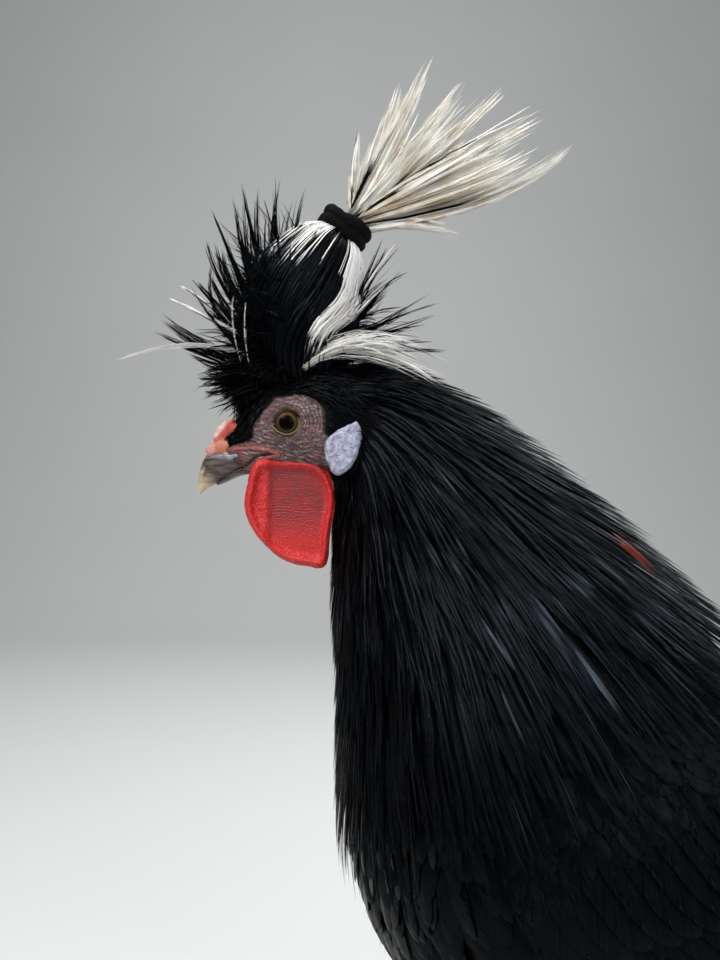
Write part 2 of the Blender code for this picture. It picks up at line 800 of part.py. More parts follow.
HACKLE = (
    Tier(4.75, 6.6, 8, 0.0092),
    Tier(5.75, 8.0, 10, 0.0098),
    Tier(6.75, 9.3, 12, 0.0114),
    Tier(7.75, 10.3, 12, 0.0155),
    Tier(8.75, 11.1, 14, 0.0170),
)
# The saddle's rows are counted on one side, from the middle of the back downward.
SADDLE = (Tier(11.4, 14.6, 4, 0.0098), Tier(12.4, 15.8, 4, 0.0092), Tier(13.4, 16.85, 4, 0.0080))


def belly_fade(angle):
    """1 on the back and sides and less on the breast and throat."""
    return float(np.interp(abs(angle), (105, 165), (1.0, 0.35)))


# How thick the close part of the neck's plumage is: station, thickness.
NECK_COAT = ((4.5, 0.0004), (5.6, 0.0020), (6.5, 0.0042), (8.0, 0.0062), (9.4, 0.0075))


def neck_core_lift(station, angle):
    """The thickness of the neck's close plumage at a place."""
    return float(np.interp(station, *zip(*NECK_COAT))) * belly_fade(angle)


def hackle_vane(tier, angle, side):
    """One long feather of the hackle."""
    start = max(tier.start, BEHIND_LOBE) if 45 < angle < 150 else tier.start
    end = tier.end - THROAT_SHORTENING * max(0.0, angle - 110) / 70
    rise = HACKLE_RISE * (0.45 + 0.55 * belly_fade(angle)) * min(1.0, (tier.start - 3.6) / 2.5)
    tilt = 0 if angle in (0, 180) else SHINGLE_TILT
    lifts = (-ROOT_DEPTH, rise)
    return body_vane((start, angle), (end, angle), tier.half_width, lifts, side, tilt, neck_core_lift)


def make_neck():
    """The neck under its cape of long feathers, which also lies over the shoulders."""
    stations = np.linspace(NECK_START + STATION_GAP * 2, TORSO_START - STATION_GAP, 9)
    rings = []
    for s in stations:
        angles = [360 * k / BODY_SIDES for k in range(BODY_SIDES)]
        rings.append([over(s, a, neck_core_lift(s, min(a, 360 - a))) for a in angles])
    core = loft("neck", rings)
    vanes = []
    for number, tier in enumerate(HACKLE):
        pitch = 360 / tier.count
        offset = pitch / 2 if number % 2 else 0
        angles = [offset + pitch * k for k in range(tier.count) if offset + pitch * k < 180.5]
        for angle in angles:
            sides = (LEFT,) if angle in (0, 180) else (LEFT, RIGHT)
            vanes += [hackle_vane(tier, angle, side) for side in sides]
    return join(core, vanes)


def make_torso():
    """The trunk, from the shoulders to the root of the tail, with the saddle's long hanging feathers."""
    stations = np.linspace(TORSO_START + STATION_GAP, TAIL_START, 12)
    core = loft("torso", [body_ring(s, 0.0, BODY_SIDES) for s in stations])
    vanes = []
    for number, tier in enumerate(SADDLE):
        for k in range(tier.count):
            angle = (0 if number % 2 else 6) + 12 * k
            hang = (tier.end - 0.12 * k, angle * 1.35 + 4)
            lifts = (-ROOT_DEPTH, SADDLE_RISE)
            for side in (LEFT,) if angle == 0 else (LEFT, RIGHT):
                vanes.append(body_vane((tier.start, angle), hang, tier.half_width, lifts, side))
    return join(core, vanes)


# The front of the folded wing: station, upper and lower angle.
WING_PLATE = (
    (9.9, 72, 92),
    (10.4, 62, 106),
    (11.0, 56, 112),
    (11.8, 51, 113),
    (12.6, 52, 110),
    (13.3, 58, 104),
)


def wing_plate(side):
    """The close-feathered front of the folded wing, in which its quills are rooted."""
    rings = []
    for station, upper, lower in WING_PLATE:
        angles = np.linspace(upper, lower, 7)
        bulge = [0.0014 + 0.0016 * math.sin(math.pi * k / 6) for k in range(7)]
        outside = [over(station, -side * a, lift) for a, lift in zip(angles, bulge)]
        inside = [over(station, -side * a, -0.0010) for a in angles[::-1]]
        rings.append(outside + inside)
    return loft("wing_" + SIDE_NAMES[side], rings)


class Quills(NamedTuple):
    """One row of wing feathers, lowest to uppermost: roots and tips (station, angle), and lifts."""

    count: int
    low_root: tuple
    high_root: tuple
    low_tip: tuple
    high_tip: tuple
    root_lift: float
    tip_lifts: tuple
    half_width: float


# Primaries, secondaries and two rows of coverts.
WING_ROWS = (
    Quills(3, (12.7, 100), (12.9, 88), (15.9, 88), (16.5, 78), 0.0009, (0.0016, 0.0024), 0.0062),
    Quills(8, (11.9, 107), (12.2, 60), (14.6, 106), (15.9, 66), 0.0006, (0.0038, 0.0050), 0.0082),
    Quills(4, (11.1, 102), (11.2, 63), (12.9, 102), (13.6, 64), 0.0003, (0.0060, 0.0066), 0.0165),
    Quills(3, (10.4, 96), (10.5, 71), (12.0, 98), (12.3, 69), 0.0002, (0.0068, 0.0072), 0.0190),
)


def wing_row(quills, side):
    """The overlapping vanes of one row of the wing, each laid a little over the one below it."""
    made = []
    for k in range(quills.count):
        share = k / (quills.count - 1)
        root = np.array(quills.low_root) * (1 - share) + np.array(quills.high_root) * share
        tip = np.array(quills.low_tip) * (1 - share) + np.array(quills.high_tip) * share
        top = quills.tip_lifts[0] * (1 - share) + quills.tip_lifts[1] * share
        lifts = (quills.root_lift, top)
        made.append(body_vane(tuple(root), tuple(tip), quills.half_width, lifts, side, WING_TILT))
    return made


def make_wing(side):
    """One folded wing, lying along the side of the trunk."""
    return join(wing_plate(side), [vane for quills in WING_ROWS for vane in wing_row(quills, side)])


# The sections of a feather of the tail: share of its length, share of its half width.
TAIL_SHAPE = ((0.0, 0.25), (0.3, 0.90), (0.62, 1.0), (0.88, 0.75))
SICKLE_SHAPE = ((0.0, 0.30), (0.2, 0.80), (0.4, 1.0), (0.58, 1.0), (0.74, 0.90), (0.89, 0.60))


def tail_vane(side, layer, start, control, end, half_width, outline):
    """One upright feather of the tail, flat to the side, along a bowed line given in the side profile."""
    y = side * TAIL_SPACING * (layer + 0.8)
    shares = [place for place, _ in outline] + [1.0]
    points = curve_points(*(np.array([p[0], 0.0, p[1]]) for p in (start, control, end)), shares)
    across = []
    for i, point in enumerate(points):
        way = points[min(i + 1, len(points) - 1)] - points[max(i - 1, 0)]
        across.append(np.cross(way, [0.0, side, 0.0]))
        point[1] = y * (0.75 + TAIL_SPLAY * shares[i])
    return blade(points, across, [half_width * share for _, share in outline], TAIL_THICKNESS)


def profile_turn(way, degrees):
    """A direction in the side profile, turned down by some degrees."""
    turn = math.radians(degrees)
    return np.array([
        way[0] * math.cos(turn) + way[1] * math.sin(turn),
        way[1] * math.cos(turn) - way[0] * math.sin(turn),
    ])


def make_tail():
    """The tail: its feathered root, the upright main feathers and the long curved sickles over them."""
    core = loft("tail", [body_ring(s, 0.0, 16) for s in np.linspace(TAIL_START + STATION_GAP, TAIL_END, 5)])
    root = np.array(TAIL_ROOT)
    vanes = []
    for side in (LEFT, RIGHT):
        for k in range(MAIN_TAIL_PAIRS):
            way = profile_turn(np.array([0.0, 1.0]), 18 + MAIN_TAIL_PITCH * k)
            reach = MAIN_TAIL_LENGTH - 0.004 * k
            bend = root + way * reach * 0.55
            end = root + way * reach - np.array([0.0, 0.003])
            vanes.append(tail_vane(side, k, root, bend, end, MAIN_TAIL_HALF_WIDTH, TAIL_SHAPE))
        for k in range(SICKLE_PAIRS):
            share = SICKLE_SHARES[k]
            bend = root + profile_turn(np.array(SICKLE_BEND) * share, 11 * k)
            end = root + profile_turn(np.array(SICKLE_TIP) * share, 9 * k)
            layer = MAIN_TAIL_PAIRS + k
            vanes.append(tail_vane(side, layer, root, bend, end, SICKLE_HALF_WIDTH, SICKLE_SHAPE))
    return join(core, vanes)


# Down the drumstick: centre (x, z), half depth and half width.
THIGH = (
    (HIP[0], HIP[1] + 0.012, 0.0360, 0.0220),
    (0.172, 0.180, 0.0340, 0.0210),
    (0.184, 0.152, 0.0230, 0.0170),
    (0.193, 0.132, 0.0120, 0.0110),
    (HOCK[0] + 0.001, HOCK[1] + 0.003, 0.0078, 0.0072),
)


def make_thigh(side):
    """The feathered drumstick, which meets the trunk face to face."""
    y = side * LEG_OFFSET
    centres = [(x, y, z) for x, z, _, _ in THIGH]
    rings = path_rings(centres, [row[2] for row in THIGH], [row[3] for row in THIGH], 16)
    return loft("thigh_" + SIDE_NAMES[side], rings)


def make_shank(side):
    """The scaled shank with its scutes and spur."""
    y = side * LEG_OFFSET
    top, foot = np.array([HOCK[0], y, HOCK[1]]), np.array([ANKLE[0], y, ANKLE[1]])
    centres, depths, widths = [], [], []
    for k in range(SCUTE_COUNT + 1):
        share = k / SCUTE_COUNT
        swell = 0.0020 * math.exp(-((share / 0.12) ** 2)) + 0.0008 * math.exp(-(((1 - share) / 0.10) ** 2))
        for step in (0.0, SCUTE_STEP):
            centres.append(top + (foot - top) * (share + (SCUTE_OVERLAP if step else 0.0)))
            depths.append(SHANK_RADIUS + swell + step)
            widths.append(SHANK_RADIUS * 0.92 + swell)
    shank = loft("shank_" + SIDE_NAMES[side], path_rings(centres, depths, widths, SHANK_SIDES))
    return join(shank, [make_spur(side, top + (foot - top) * 0.68)])


def make_spur(side, root):
    """The pointed spur on the inner side of a shank."""
    steps = ((0.0008, 0.0008, 0.0), (0.008, 0.005, -0.001), (0.014, 0.009, 0.001))
    centres = [root + np.array([x, -side * y, z]) for x, y, z in steps]
    rings = path_rings(centres, (0.0032, 0.0024, 0.0012), (0.0032, 0.0024, 0.0012), 8)
    return loft("spur", rings, last_tip=tuple(root + np.array([0.0185, -side * 0.011, 0.004])))


class Toe(NamedTuple):
    """A toe, by the way it points, its length and its number of joints."""

    heading: float
    length: float
    joints: int


TOES = (Toe(-172, 0.027, 2), Toe(-32, 0.044, 3), Toe(-2, 0.060, 4), Toe(30, 0.049, 5))


def toe_path(side, toe):
    """Points along the middle of a toe, from the ball of the foot to its claw, and its direction."""
    turn = math.radians(toe.heading)
    heading = np.array([-math.cos(turn), side * math.sin(turn), 0.0])
    start = np.array([ANKLE[0] - 0.002, side * LEG_OFFSET, 0.0])
    steps = toe.joints * 2 + 1
    points = []
    for k in range(steps):
        share = k / (steps - 1)
        height = TOE_RADIUS * (1.25 - 0.55 * share)
        points.append(start + heading * toe.length * share + np.array([0.0, 0.0, height]))
    return points, heading


def make_foot(side):
    """The foot with its four toes, flat underneath."""
    y = side * LEG_OFFSET
    steps = ((0.0004, ANKLE[1] - 0.0012), (0.002, 0.012), (0.003, 0.005))
    centres = [(ANKLE[0] - back, y, height) for back, height in steps]
    rings = path_rings(centres, (0.0064, 0.0078, 0.0080), (0.0060, 0.0078, 0.0085), 12, floor=0.0)
    foot = loft("foot_" + SIDE_NAMES[side], rings)
    toes = []
    for toe in TOES:
        points, _ = toe_path(side, toe)
        radii = []
        for k in range(len(points)):
            share = k / (len(points) - 1)
            radii.append(TOE_RADIUS * (1.0 - 0.35 * share) * (1.12 if k % 2 else 0.94))
        toes.append(loft("toe", path_rings(points, [r * 1.1 for r in radii], radii, TOE_SIDES, floor=0.0)))
    return join(foot, toes)


def make_claw(side, number):
    """The curved claw at the end of one toe."""
    points, heading = toe_path(side, TOES[number])
    root = points[-1] + heading * CLAW_GAP
    steps = ((0.0, 0.0), (0.4, 0.0006), (0.75, -0.0004))
    centres = [root + heading * CLAW_LENGTH * along + np.array([0.0, 0.0, up]) for along, up in steps]
    rings = path_rings(centres, (0.0028, 0.0022, 0.0012), (0.0021, 0.0016, 0.0009), 8, floor=0.0008)
    point = root + heading * CLAW_LENGTH
    point[2] = 0.0010
    return loft(f"claw_{SIDE_NAMES[side]}_{number + 1}", rings, last_tip=tuple(point))


def material_for(finish_name):
    """The material of a named finish, made the first time it is asked for."""
    material = bpy.data.materials.get(finish_name)
    if material is None:
        finish = FINISHES[finish_name]
        material = bpy.data.materials.new(finish_name)
        material.use_nodes = True
        shader = material.node_tree.nodes["Principled BSDF"]
        shader.inputs["Base Color"].default_value = (*finish.colour, 1.0)
        shader.inputs["Roughness"].default_value = finish.roughness
        shader.inputs["Metallic"].default_value = finish.metallic
    return material


def dress(part, finish_name):
    """Gives an object its material."""
    part.data.materials.clear()
    part.data.materials.append(material_for(finish_name))
    return part


def make_head_parts():
    """The head with its bill, comb and tied crest, and the neck, each cut clear of its neighbours."""
    head = make_head()
    bills = [make_upper_bill(), make_lower_bill()]
    comb = cut_by(make_comb(), [head, *bills])
    neck = cut_by(make_neck(), [head])
    tie = make_tie()
    crest = cut_by(make_crest(), [head, comb, tie, neck])
    dress(head, "face_skin")
    dress(comb, "red_flesh")
    dress(tie, "black_elastic")
    for part in bills:
        dress(part, "bill_horn")
    for part in (neck, crest):
        dress(part, "black_plumage")
    return head, bills, comb, crest, neck, tie, dress(make_plume(), "white_plumage")


def make_side_parts(side, head, bills, crest, neck, torso):
    """Everything that comes in pairs, for one side."""
    lobe = cut_by(make_lobe(side), [head, neck, crest])
    wattle = cut_by(make_wattle(side), [head, neck, lobe, *bills])
    shank = make_shank(side)
    parts = [
        dress(make_eye(side), "eye"),
        dress(lobe, "white_lobe"),
        dress(wattle, "red_flesh"),
        dress(cut_by(make_wing(side), [torso, neck]), "black_plumage"),
        dress(cut_by(make_thigh(side), [torso, shank]), "black_plumage"),
        dress(shank, "slate_leg"),
        dress(cut_by(make_foot(side), [shank]), "slate_leg"),
    ]
    return parts + [dress(make_claw(side, number), "claw_horn") for number in range(len(TOES))]


def stand_on_origin(parts):
    """Moves the whole model so that the middle of its underside is the origin."""
    places = np.array([v.co for part in parts for v in part.data.vertices])
    low, high = places.min(axis=0), places.max(axis=0)
    shift = np.array([(low[0] + high[0]) / 2, (low[1] + high[1]) / 2, low[2]])
    for part in parts:
        for vertex in part.data.vertices:
            vertex.co = np.array(vertex.co) - shift


def collect(parts):
    """Puts the finished parts into a collection of their own."""
    group = bpy.data.collections.new("crested_cock")
    bpy.context.scene.collection.children.link(group)
    for part in parts:
        bpy.context.scene.collection.objects.unlink(part)
        group.objects.link(part)


def main():
    """Builds every part of the bird."""
    for old in list(bpy.data.objects):
        bpy.data.objects.remove(old)
    head, bills, comb, crest, neck, tie, plume = make_head_parts()
    torso = dress(make_torso(), "black_plumage")
    tail = dress(cut_by(make_tail(), [torso]), "black_plumage")
    parts = [head, *bills, comb, crest, tie, plume, neck, torso, tail]
    for side in (LEFT, RIGHT):
        parts += make_side_parts(side, head, bills, crest, neck, torso)
    stand_on_origin(parts)
    collect(parts)


main()
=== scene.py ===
"""The looks of a standing Polish cock whose crest is gathered in an elastic tie.

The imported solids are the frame. One skin takes the place of the fleshy ones, and feathers of solid mesh grow
over it. Places are in design coordinates: metres, x back from the tip of the bill, z up from the floor, and
the bird's left side, which the camera sees, at -y. They are moved onto the frame as each mesh is made. Tables
of whole numbers are in tenths of a millimetre.
"""

import itertools
import logging
import math
from collections.abc import Callable, Sequence
from dataclasses import dataclass
from enum import Enum
from functools import partialmethod

import bpy
import numpy as np
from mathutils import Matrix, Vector, noise


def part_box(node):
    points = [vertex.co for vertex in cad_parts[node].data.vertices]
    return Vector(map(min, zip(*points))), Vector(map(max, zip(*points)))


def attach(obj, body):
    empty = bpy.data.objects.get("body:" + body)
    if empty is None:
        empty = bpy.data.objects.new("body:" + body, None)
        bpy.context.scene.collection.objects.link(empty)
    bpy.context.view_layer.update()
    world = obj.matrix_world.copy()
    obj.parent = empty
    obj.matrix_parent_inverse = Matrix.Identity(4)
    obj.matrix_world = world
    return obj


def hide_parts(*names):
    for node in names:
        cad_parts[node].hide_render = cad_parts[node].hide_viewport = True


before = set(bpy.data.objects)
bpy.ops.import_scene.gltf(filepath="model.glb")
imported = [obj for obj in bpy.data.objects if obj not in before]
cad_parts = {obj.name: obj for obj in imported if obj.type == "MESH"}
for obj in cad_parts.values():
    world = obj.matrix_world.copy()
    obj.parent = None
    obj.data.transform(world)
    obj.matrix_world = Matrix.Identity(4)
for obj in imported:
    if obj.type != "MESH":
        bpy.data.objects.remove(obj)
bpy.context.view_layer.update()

Array = np.ndarray
Pair = tuple[float, float]
Colour = tuple[float, float, float]
Chance = np.random.Generator
Rows = Sequence[Sequence[float]]
Rule = Callable[[Array, Array], Array]
Piece = bpy.types.Object
Material = bpy.types.Material
Socket = bpy.types.NodeSocket

EYE_IN_DESIGN = np.array([0.0405, -0.0103, 0.435])
SHIFT = np.mean(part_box("eye_left"), axis=0) - EYE_IN_DESIGN
MILLIMETRE = 0.001
TENTHS_IN_A_METRE = 10_000
PUPIL = (0.0405, 0.4338)

log = logging.getLogger("crested_cock")


class Side(Enum):
    """The two sides of the bird."""

    LEFT = -1
    RIGHT = 1

    @property
    def word(self) -> str:
        """The side's name, as it stands in the names of pieces."""
        return self.name.lower()


def unit(vectors: Array) -> Array:
    """The vectors at length 1."""
    return vectors / np.maximum(np.linalg.norm(vectors, axis=-1, keepdims=True), 1e-12)


def xyz(x: Array | float, y: Array | float, z: Array | float) -> Array:
    """Points or directions from their coordinates."""
    return np.stack(np.broadcast_arrays(x, y, z), axis=-1)


def metres(rows: Rows) -> Array:
    """Rows of whole tenths of a millimetre, in metres."""
    return np.array(rows) / TENTHS_IN_A_METRE


def circle(count: int) -> Array:
    """Even angles round a full turn, in radians."""
    return np.linspace(0, 2 * np.pi, count, endpoint=False)


def soft_step(low: float, high: float, value: Array) -> Array:
    """0 below low, 1 above high and a smooth rise between."""
    share = np.clip((value - low) / (high - low), 0.0, 1.0)
    return share * share * (3 - 2 * share)


def hump(value: Array, width: float) -> Array:
    """1 where a value is 0, and a bell round it."""
    return np.exp(-((value / width) ** 2))


def bezier(start: Array, bend: Array, end: Array, shares: Array) -> Array:
    """Points on one or many curves.

    Args:
        start: First points.
        bend: The points towards which the curves leave and from which they come.
        end: Last points.
        shares: Places on the curves, from 0 to 1.

    Returns:
        Curves, places and coordinates.
    """
    u = np.asarray(shares)[..., None]
    start, bend, end = (point[..., None, :] for point in (start, bend, end))
    return start * (1 - u) ** 2 + bend * 2 * u * (1 - u) + end * u * u


def spline(table: Array, first: Array, u: Array, ends: Callable[[Array], Array]) -> Array:
    """Points on a smooth curve through the rows of a table.

    Args:
        table: The rows.
        first: The row before each point.
        u: How far each point is on the way to the next row.
        ends: Brings row numbers past an end back into the table.

    Returns:
        The points.
    """
    p0, p1, p2, p3 = (table[ends(first + step)] for step in (-1, 0, 1, 2))
    steady, square, cube = 2 * p1 + (p2 - p0) * u, u * u, u * u * u
    return 0.5 * (steady + (2 * p0 - 5 * p1 + 4 * p2 - p3) * square + (3 * p1 - p0 - 3 * p2 + p3) * cube)


def lumps(points: Array, scale: float, seed: float = 0.0) -> Array:
    """Smooth random heights from -1 to 1 at points in space, with scale lumps to the metre."""
    offset = Vector((seed, seed * 0.7, -seed))
    return np.array([noise.noise(Vector(point) * scale + offset) for point in points])


def pebbles(points: Array, scale: float) -> Array:
    """Rounded grains at points in space, 1 at the middle of each and 0 between them."""
    gaps = np.array([noise.voronoi(Vector(point) * scale)[0][0] for point in points])
    return 1 - np.clip(gaps, 0.0, 1.0) ** 2


@dataclass(frozen=True)
class BodySurface:
    """The body under its plumage, read by station along it and by angle from the back towards the left side.

    Each rib is one section, in tenths of a millimetre: its lowest point (x, z), its highest point (x, z) and its
    half width.
    """

    ribs: Rows = (
        (250, 4090, 90, 4280, 75), (310, 4105, 170, 4340, 110), (390, 4120, 260, 4490, 148),
        (476, 4125, 380, 4570, 172), (560, 4110, 530, 4610, 186), (620, 4080, 700, 4580, 180),
        (640, 4000, 910, 4530, 185), (640, 3830, 1150, 4380, 230), (640, 3550, 1460, 4110, 340),
        (670, 3200, 1760, 3820, 500), (670, 2850, 2030, 3540, 640), (690, 2480, 2310, 3280, 720),
        (820, 2150, 2560, 3050, 745), (1110, 1890, 2780, 2880, 730), (1460, 1730, 2930, 2780, 670),
        (1960, 1730, 3050, 2720, 570), (2410, 1900, 3140, 2680, 430), (2740, 2150, 3220, 2680, 310),
        (3000, 2340, 3330, 2710, 220), (3210, 2480, 3440, 2750, 130),
    )
    roundness: float = 0.92
    table_step: float = 0.05
    table_angle: float = 7.5

    @property
    def last(self) -> float:
        """The last station."""
        return float(len(self.ribs) - 1)

    def rib(self, station: Array) -> Array:
        """The smoothed rib at each station."""
        place = np.clip(np.asarray(station, float), 0.0, self.last - 1e-6)
        first, last = place.astype(int), len(self.ribs) - 1
        return spline(metres(self.ribs), first, (place - first)[..., None], lambda row: np.clip(row, 0, last))

    def point(self, station: Array, angle: Array) -> Array:
        """Points of the surface."""
        rib, turn = self.rib(station), np.radians(angle)
        up, out = (np.sign(wave) * np.abs(wave) ** self.roundness for wave in (np.cos(turn), np.sin(turn)))
        middle, reach = (rib[..., 0:2] + rib[..., 2:4]) / 2, (rib[..., 2:4] - rib[..., 0:2]) / 2
        profile = middle + reach * up[..., None]
        return xyz(profile[..., 0], -rib[..., 4] * out, profile[..., 1])

    def normal(self, station: Array, angle: Array) -> Array:
        """Outward unit normals of the surface."""
        along = self.point(station + 0.05, angle) - self.point(station - 0.05, angle)
        around = self.point(station, angle + 2) - self.point(station, angle - 2)
        return unit(np.cross(around, along))

    def over(self, station: Array, angle: Array, lift: Array) -> Array:
        """Points at a height over the surface."""
        return self.point(station, angle) + self.normal(station, angle) * np.asarray(lift)[..., None]

    def advance(self, station: Array, angle: Array, lengths: Array) -> Array:
        """Where lines along the body come to after some lengths.

        Args:
            station: Where each line starts.
            angle: On which side of the body it runs.
            lengths: Metres to go, as rows of several lengths for each line.

        Returns:
            The stations reached, in the shape of lengths.
        """
        grid = np.arange(0.0, self.last, self.table_step)
        slots = np.round((np.asarray(angle) % 360) / self.table_angle).astype(int)
        reached = np.zeros_like(lengths)
        for slot in np.unique(slots):
            line = self.point(grid, np.full_like(grid, slot * self.table_angle))
            arc = np.concatenate([[0.0], np.cumsum(np.linalg.norm(np.diff(line, axis=0), axis=1))])
            chosen = slots == slot
            begun = np.interp(station[chosen], grid, arc)
            reached[chosen] = np.interp(begun[:, None] + lengths[chosen], arc, grid)
        return reached


BODY = BodySurface()


@dataclass(frozen=True)
class Tube:
    """A bent tube, read by place along its rows and angle round it.

    Each row holds the middle (x, y, z), the half depth in the upright plane and the half width across it.
    """

    rows: Rows

    def frame_at(self, place: Array) -> tuple[Array, Array, Array]:
        """The row at each place, with the tube's upward and sideways directions."""
        table, place, steps = np.array(self.rows), np.asarray(place, float), np.arange(len(self.rows))

        def read(step: float) -> Array:
            """The rows a step on from the places."""
            return np.stack([np.interp(place + step, steps, column) for column in table.T], axis=-1)

        ahead = unit((read(0.3) - read(-0.3))[..., :3])
        upward = unit(np.cross(ahead, np.array([0.0, 1.0, 0.0])))
        return read(0.0), upward, np.cross(upward, ahead)

    def point(self, place: Array, angle: Array, lift: Array | float = 0.0) -> Array:
        """Points at a height over the tube, the angle counted from its upward side to the bird's left."""
        row, upward, sideways = self.frame_at(place)
        turn = np.radians(angle)[..., None]
        depth, width = (row[..., 3] + lift)[..., None], (row[..., 4] + lift)[..., None]
        return row[..., :3] + upward * depth * np.cos(turn) + sideways * width * np.sin(turn)

    def normal(self, place: Array, angle: Array) -> Array:
        """Outward directions of the tube."""
        _, upward, sideways = self.frame_at(place)
        turn = np.radians(angle)[..., None]
        return unit(upward * np.cos(turn) + sideways * np.sin(turn))

    def wrap(self, name: str, count: int, sides: int, lift: Rule | None = None) -> Piece:
        """A closed mesh over the tube.

        Args:
            name: The piece's name.
            count: How many rings it has.
            sides: Points in each ring.
            lift: Gives a height over the tube for places and angles.

        Returns:
            The new piece.
        """
        steps = np.linspace(0, len(self.rows) - 1, count), np.arange(sides) * 360 / sides
        place, angle = np.meshgrid(*steps, indexing="ij")
        return wrap_grid(name, self.point(place, angle, lift(place, angle) if lift else 0.0))


def choose(*pieces: Piece) -> None:
    """Leaves edit mode and selects only these pieces, with the first of them active."""
    if bpy.context.object and bpy.context.object.mode != "OBJECT":
        bpy.ops.object.mode_set(mode="OBJECT")
    bpy.ops.object.select_all(action="DESELECT")
    for piece in pieces:
        piece.select_set(True)
    if pieces:
        bpy.context.view_layer.objects.active = pieces[0]


def named(name: str) -> Piece:
    """Names the active object and its mesh."""
    made = bpy.context.object
    made.name = made.data.name = name
    return made


def coordinates(piece: Piece) -> Array:
    """A piece's vertices in design coordinates."""
    places = np.empty(len(piece.data.vertices) * 3)
    piece.data.vertices.foreach_get("co", places)
    return places.reshape(-1, 3) - SHIFT


def set_coordinates(piece: Piece, places: Array) -> None:
    """Moves a piece's vertices to places in design coordinates."""
    piece.data.vertices.foreach_set("co", (places + SHIFT).ravel())
    piece.data.update()


def carve(piece: Piece, height: Callable[[Array], Array]) -> None:
    """Moves each vertex of a piece along its normal.

    Args:
        piece: The mesh to change.
        height: Gives how far to go, in metres, from design coordinates.
    """
    places, normals = coordinates(piece), np.empty(len(piece.data.vertices) * 3)
    piece.data.vertex_normals.foreach_get("vector", normals)
    set_coordinates(piece, places + normals.reshape(-1, 3) * height(places)[:, None])


def wrap_grid(name: str, rings: Array, ring_closed: bool = False) -> Piece:
    """A grid wrapped into a closed tube through rings of points.

    Args:
        name: The piece's name.
        rings: Rings, points in each and coordinates.
        ring_closed: Whether the last ring meets the first, instead of each end closing to a point.

    Returns:
        The new piece, smooth and facing out.
    """
    if ring_closed:
        rings = np.concatenate([rings, rings[:1]])
    else:
        first, last = (np.broadcast_to(ring.mean(axis=0), ring.shape)[None] for ring in (rings[0], rings[-1]))
        rings = np.concatenate([first, rings, last])
    count, sides = rings.shape[:2]
    choose()
    bpy.ops.mesh.primitive_grid_add(x_subdivisions=sides, y_subdivisions=count - 1, location=(0, 0, 0))
    piece = named(name)
    set_coordinates(piece, np.concatenate([rings, rings[:, :1]], axis=1).reshape(-1, 3))
    bpy.ops.object.mode_set(mode="EDIT")
    bpy.ops.mesh.select_all(action="SELECT")
    bpy.ops.mesh.remove_doubles(threshold=1e-6)
    bpy.ops.mesh.normals_make_consistent(inside=False)
    bpy.ops.object.mode_set(mode="OBJECT")
    bpy.ops.object.shade_smooth()
    return piece


def apply_modifier(piece: Piece, kind: str, **settings: object) -> None:
    """Adds a modifier to a piece, sets it and applies it."""
    choose(piece)
    modifier = piece.modifiers.new(kind.lower(), kind)
    for setting, value in settings.items():
        setattr(modifier, setting, value)
    bpy.ops.object.modifier_apply(modifier=modifier.name)


def smoother(piece: Piece, levels: int = 1) -> None:
    """Subdivides a piece smoothly."""
    apply_modifier(piece, "SUBSURF", levels=levels, render_levels=levels)


def join_pieces(name: str, pieces: Sequence[Piece]) -> Piece:
    """Puts several meshes into one piece."""
    choose(*pieces)
    bpy.ops.object.join()
    return named(name)


def store(piece: Piece, **numbers: Array | float) -> None:
    """Keeps numbers for each vertex of a piece, for its material."""
    for name, values in numbers.items():
        attribute = piece.data.attributes.new(name, "FLOAT", "POINT")
        full = np.broadcast_to(np.asarray(values, np.float32), len(piece.data.vertices))
        attribute.data.foreach_set("value", full.copy())


def finish_piece(piece: Piece, slot: str, material: Material, nodes: Sequence[str] = ()) -> Piece:
    """Dresses a piece and fixes it to the frame.

    Args:
        piece: The finished mesh.
        slot: The record's slot for its finish; not used.
        material: What it is dressed with.
        nodes: The solids that it stands for.

    Returns:
        The same piece.
    """
    piece.data.materials.clear()
    piece.data.materials.append(material)
    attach(piece, "root")
    if nodes:
        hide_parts(*nodes)
    log.info("%s: %d faces", piece.name, len(piece.data.polygons))
    return piece


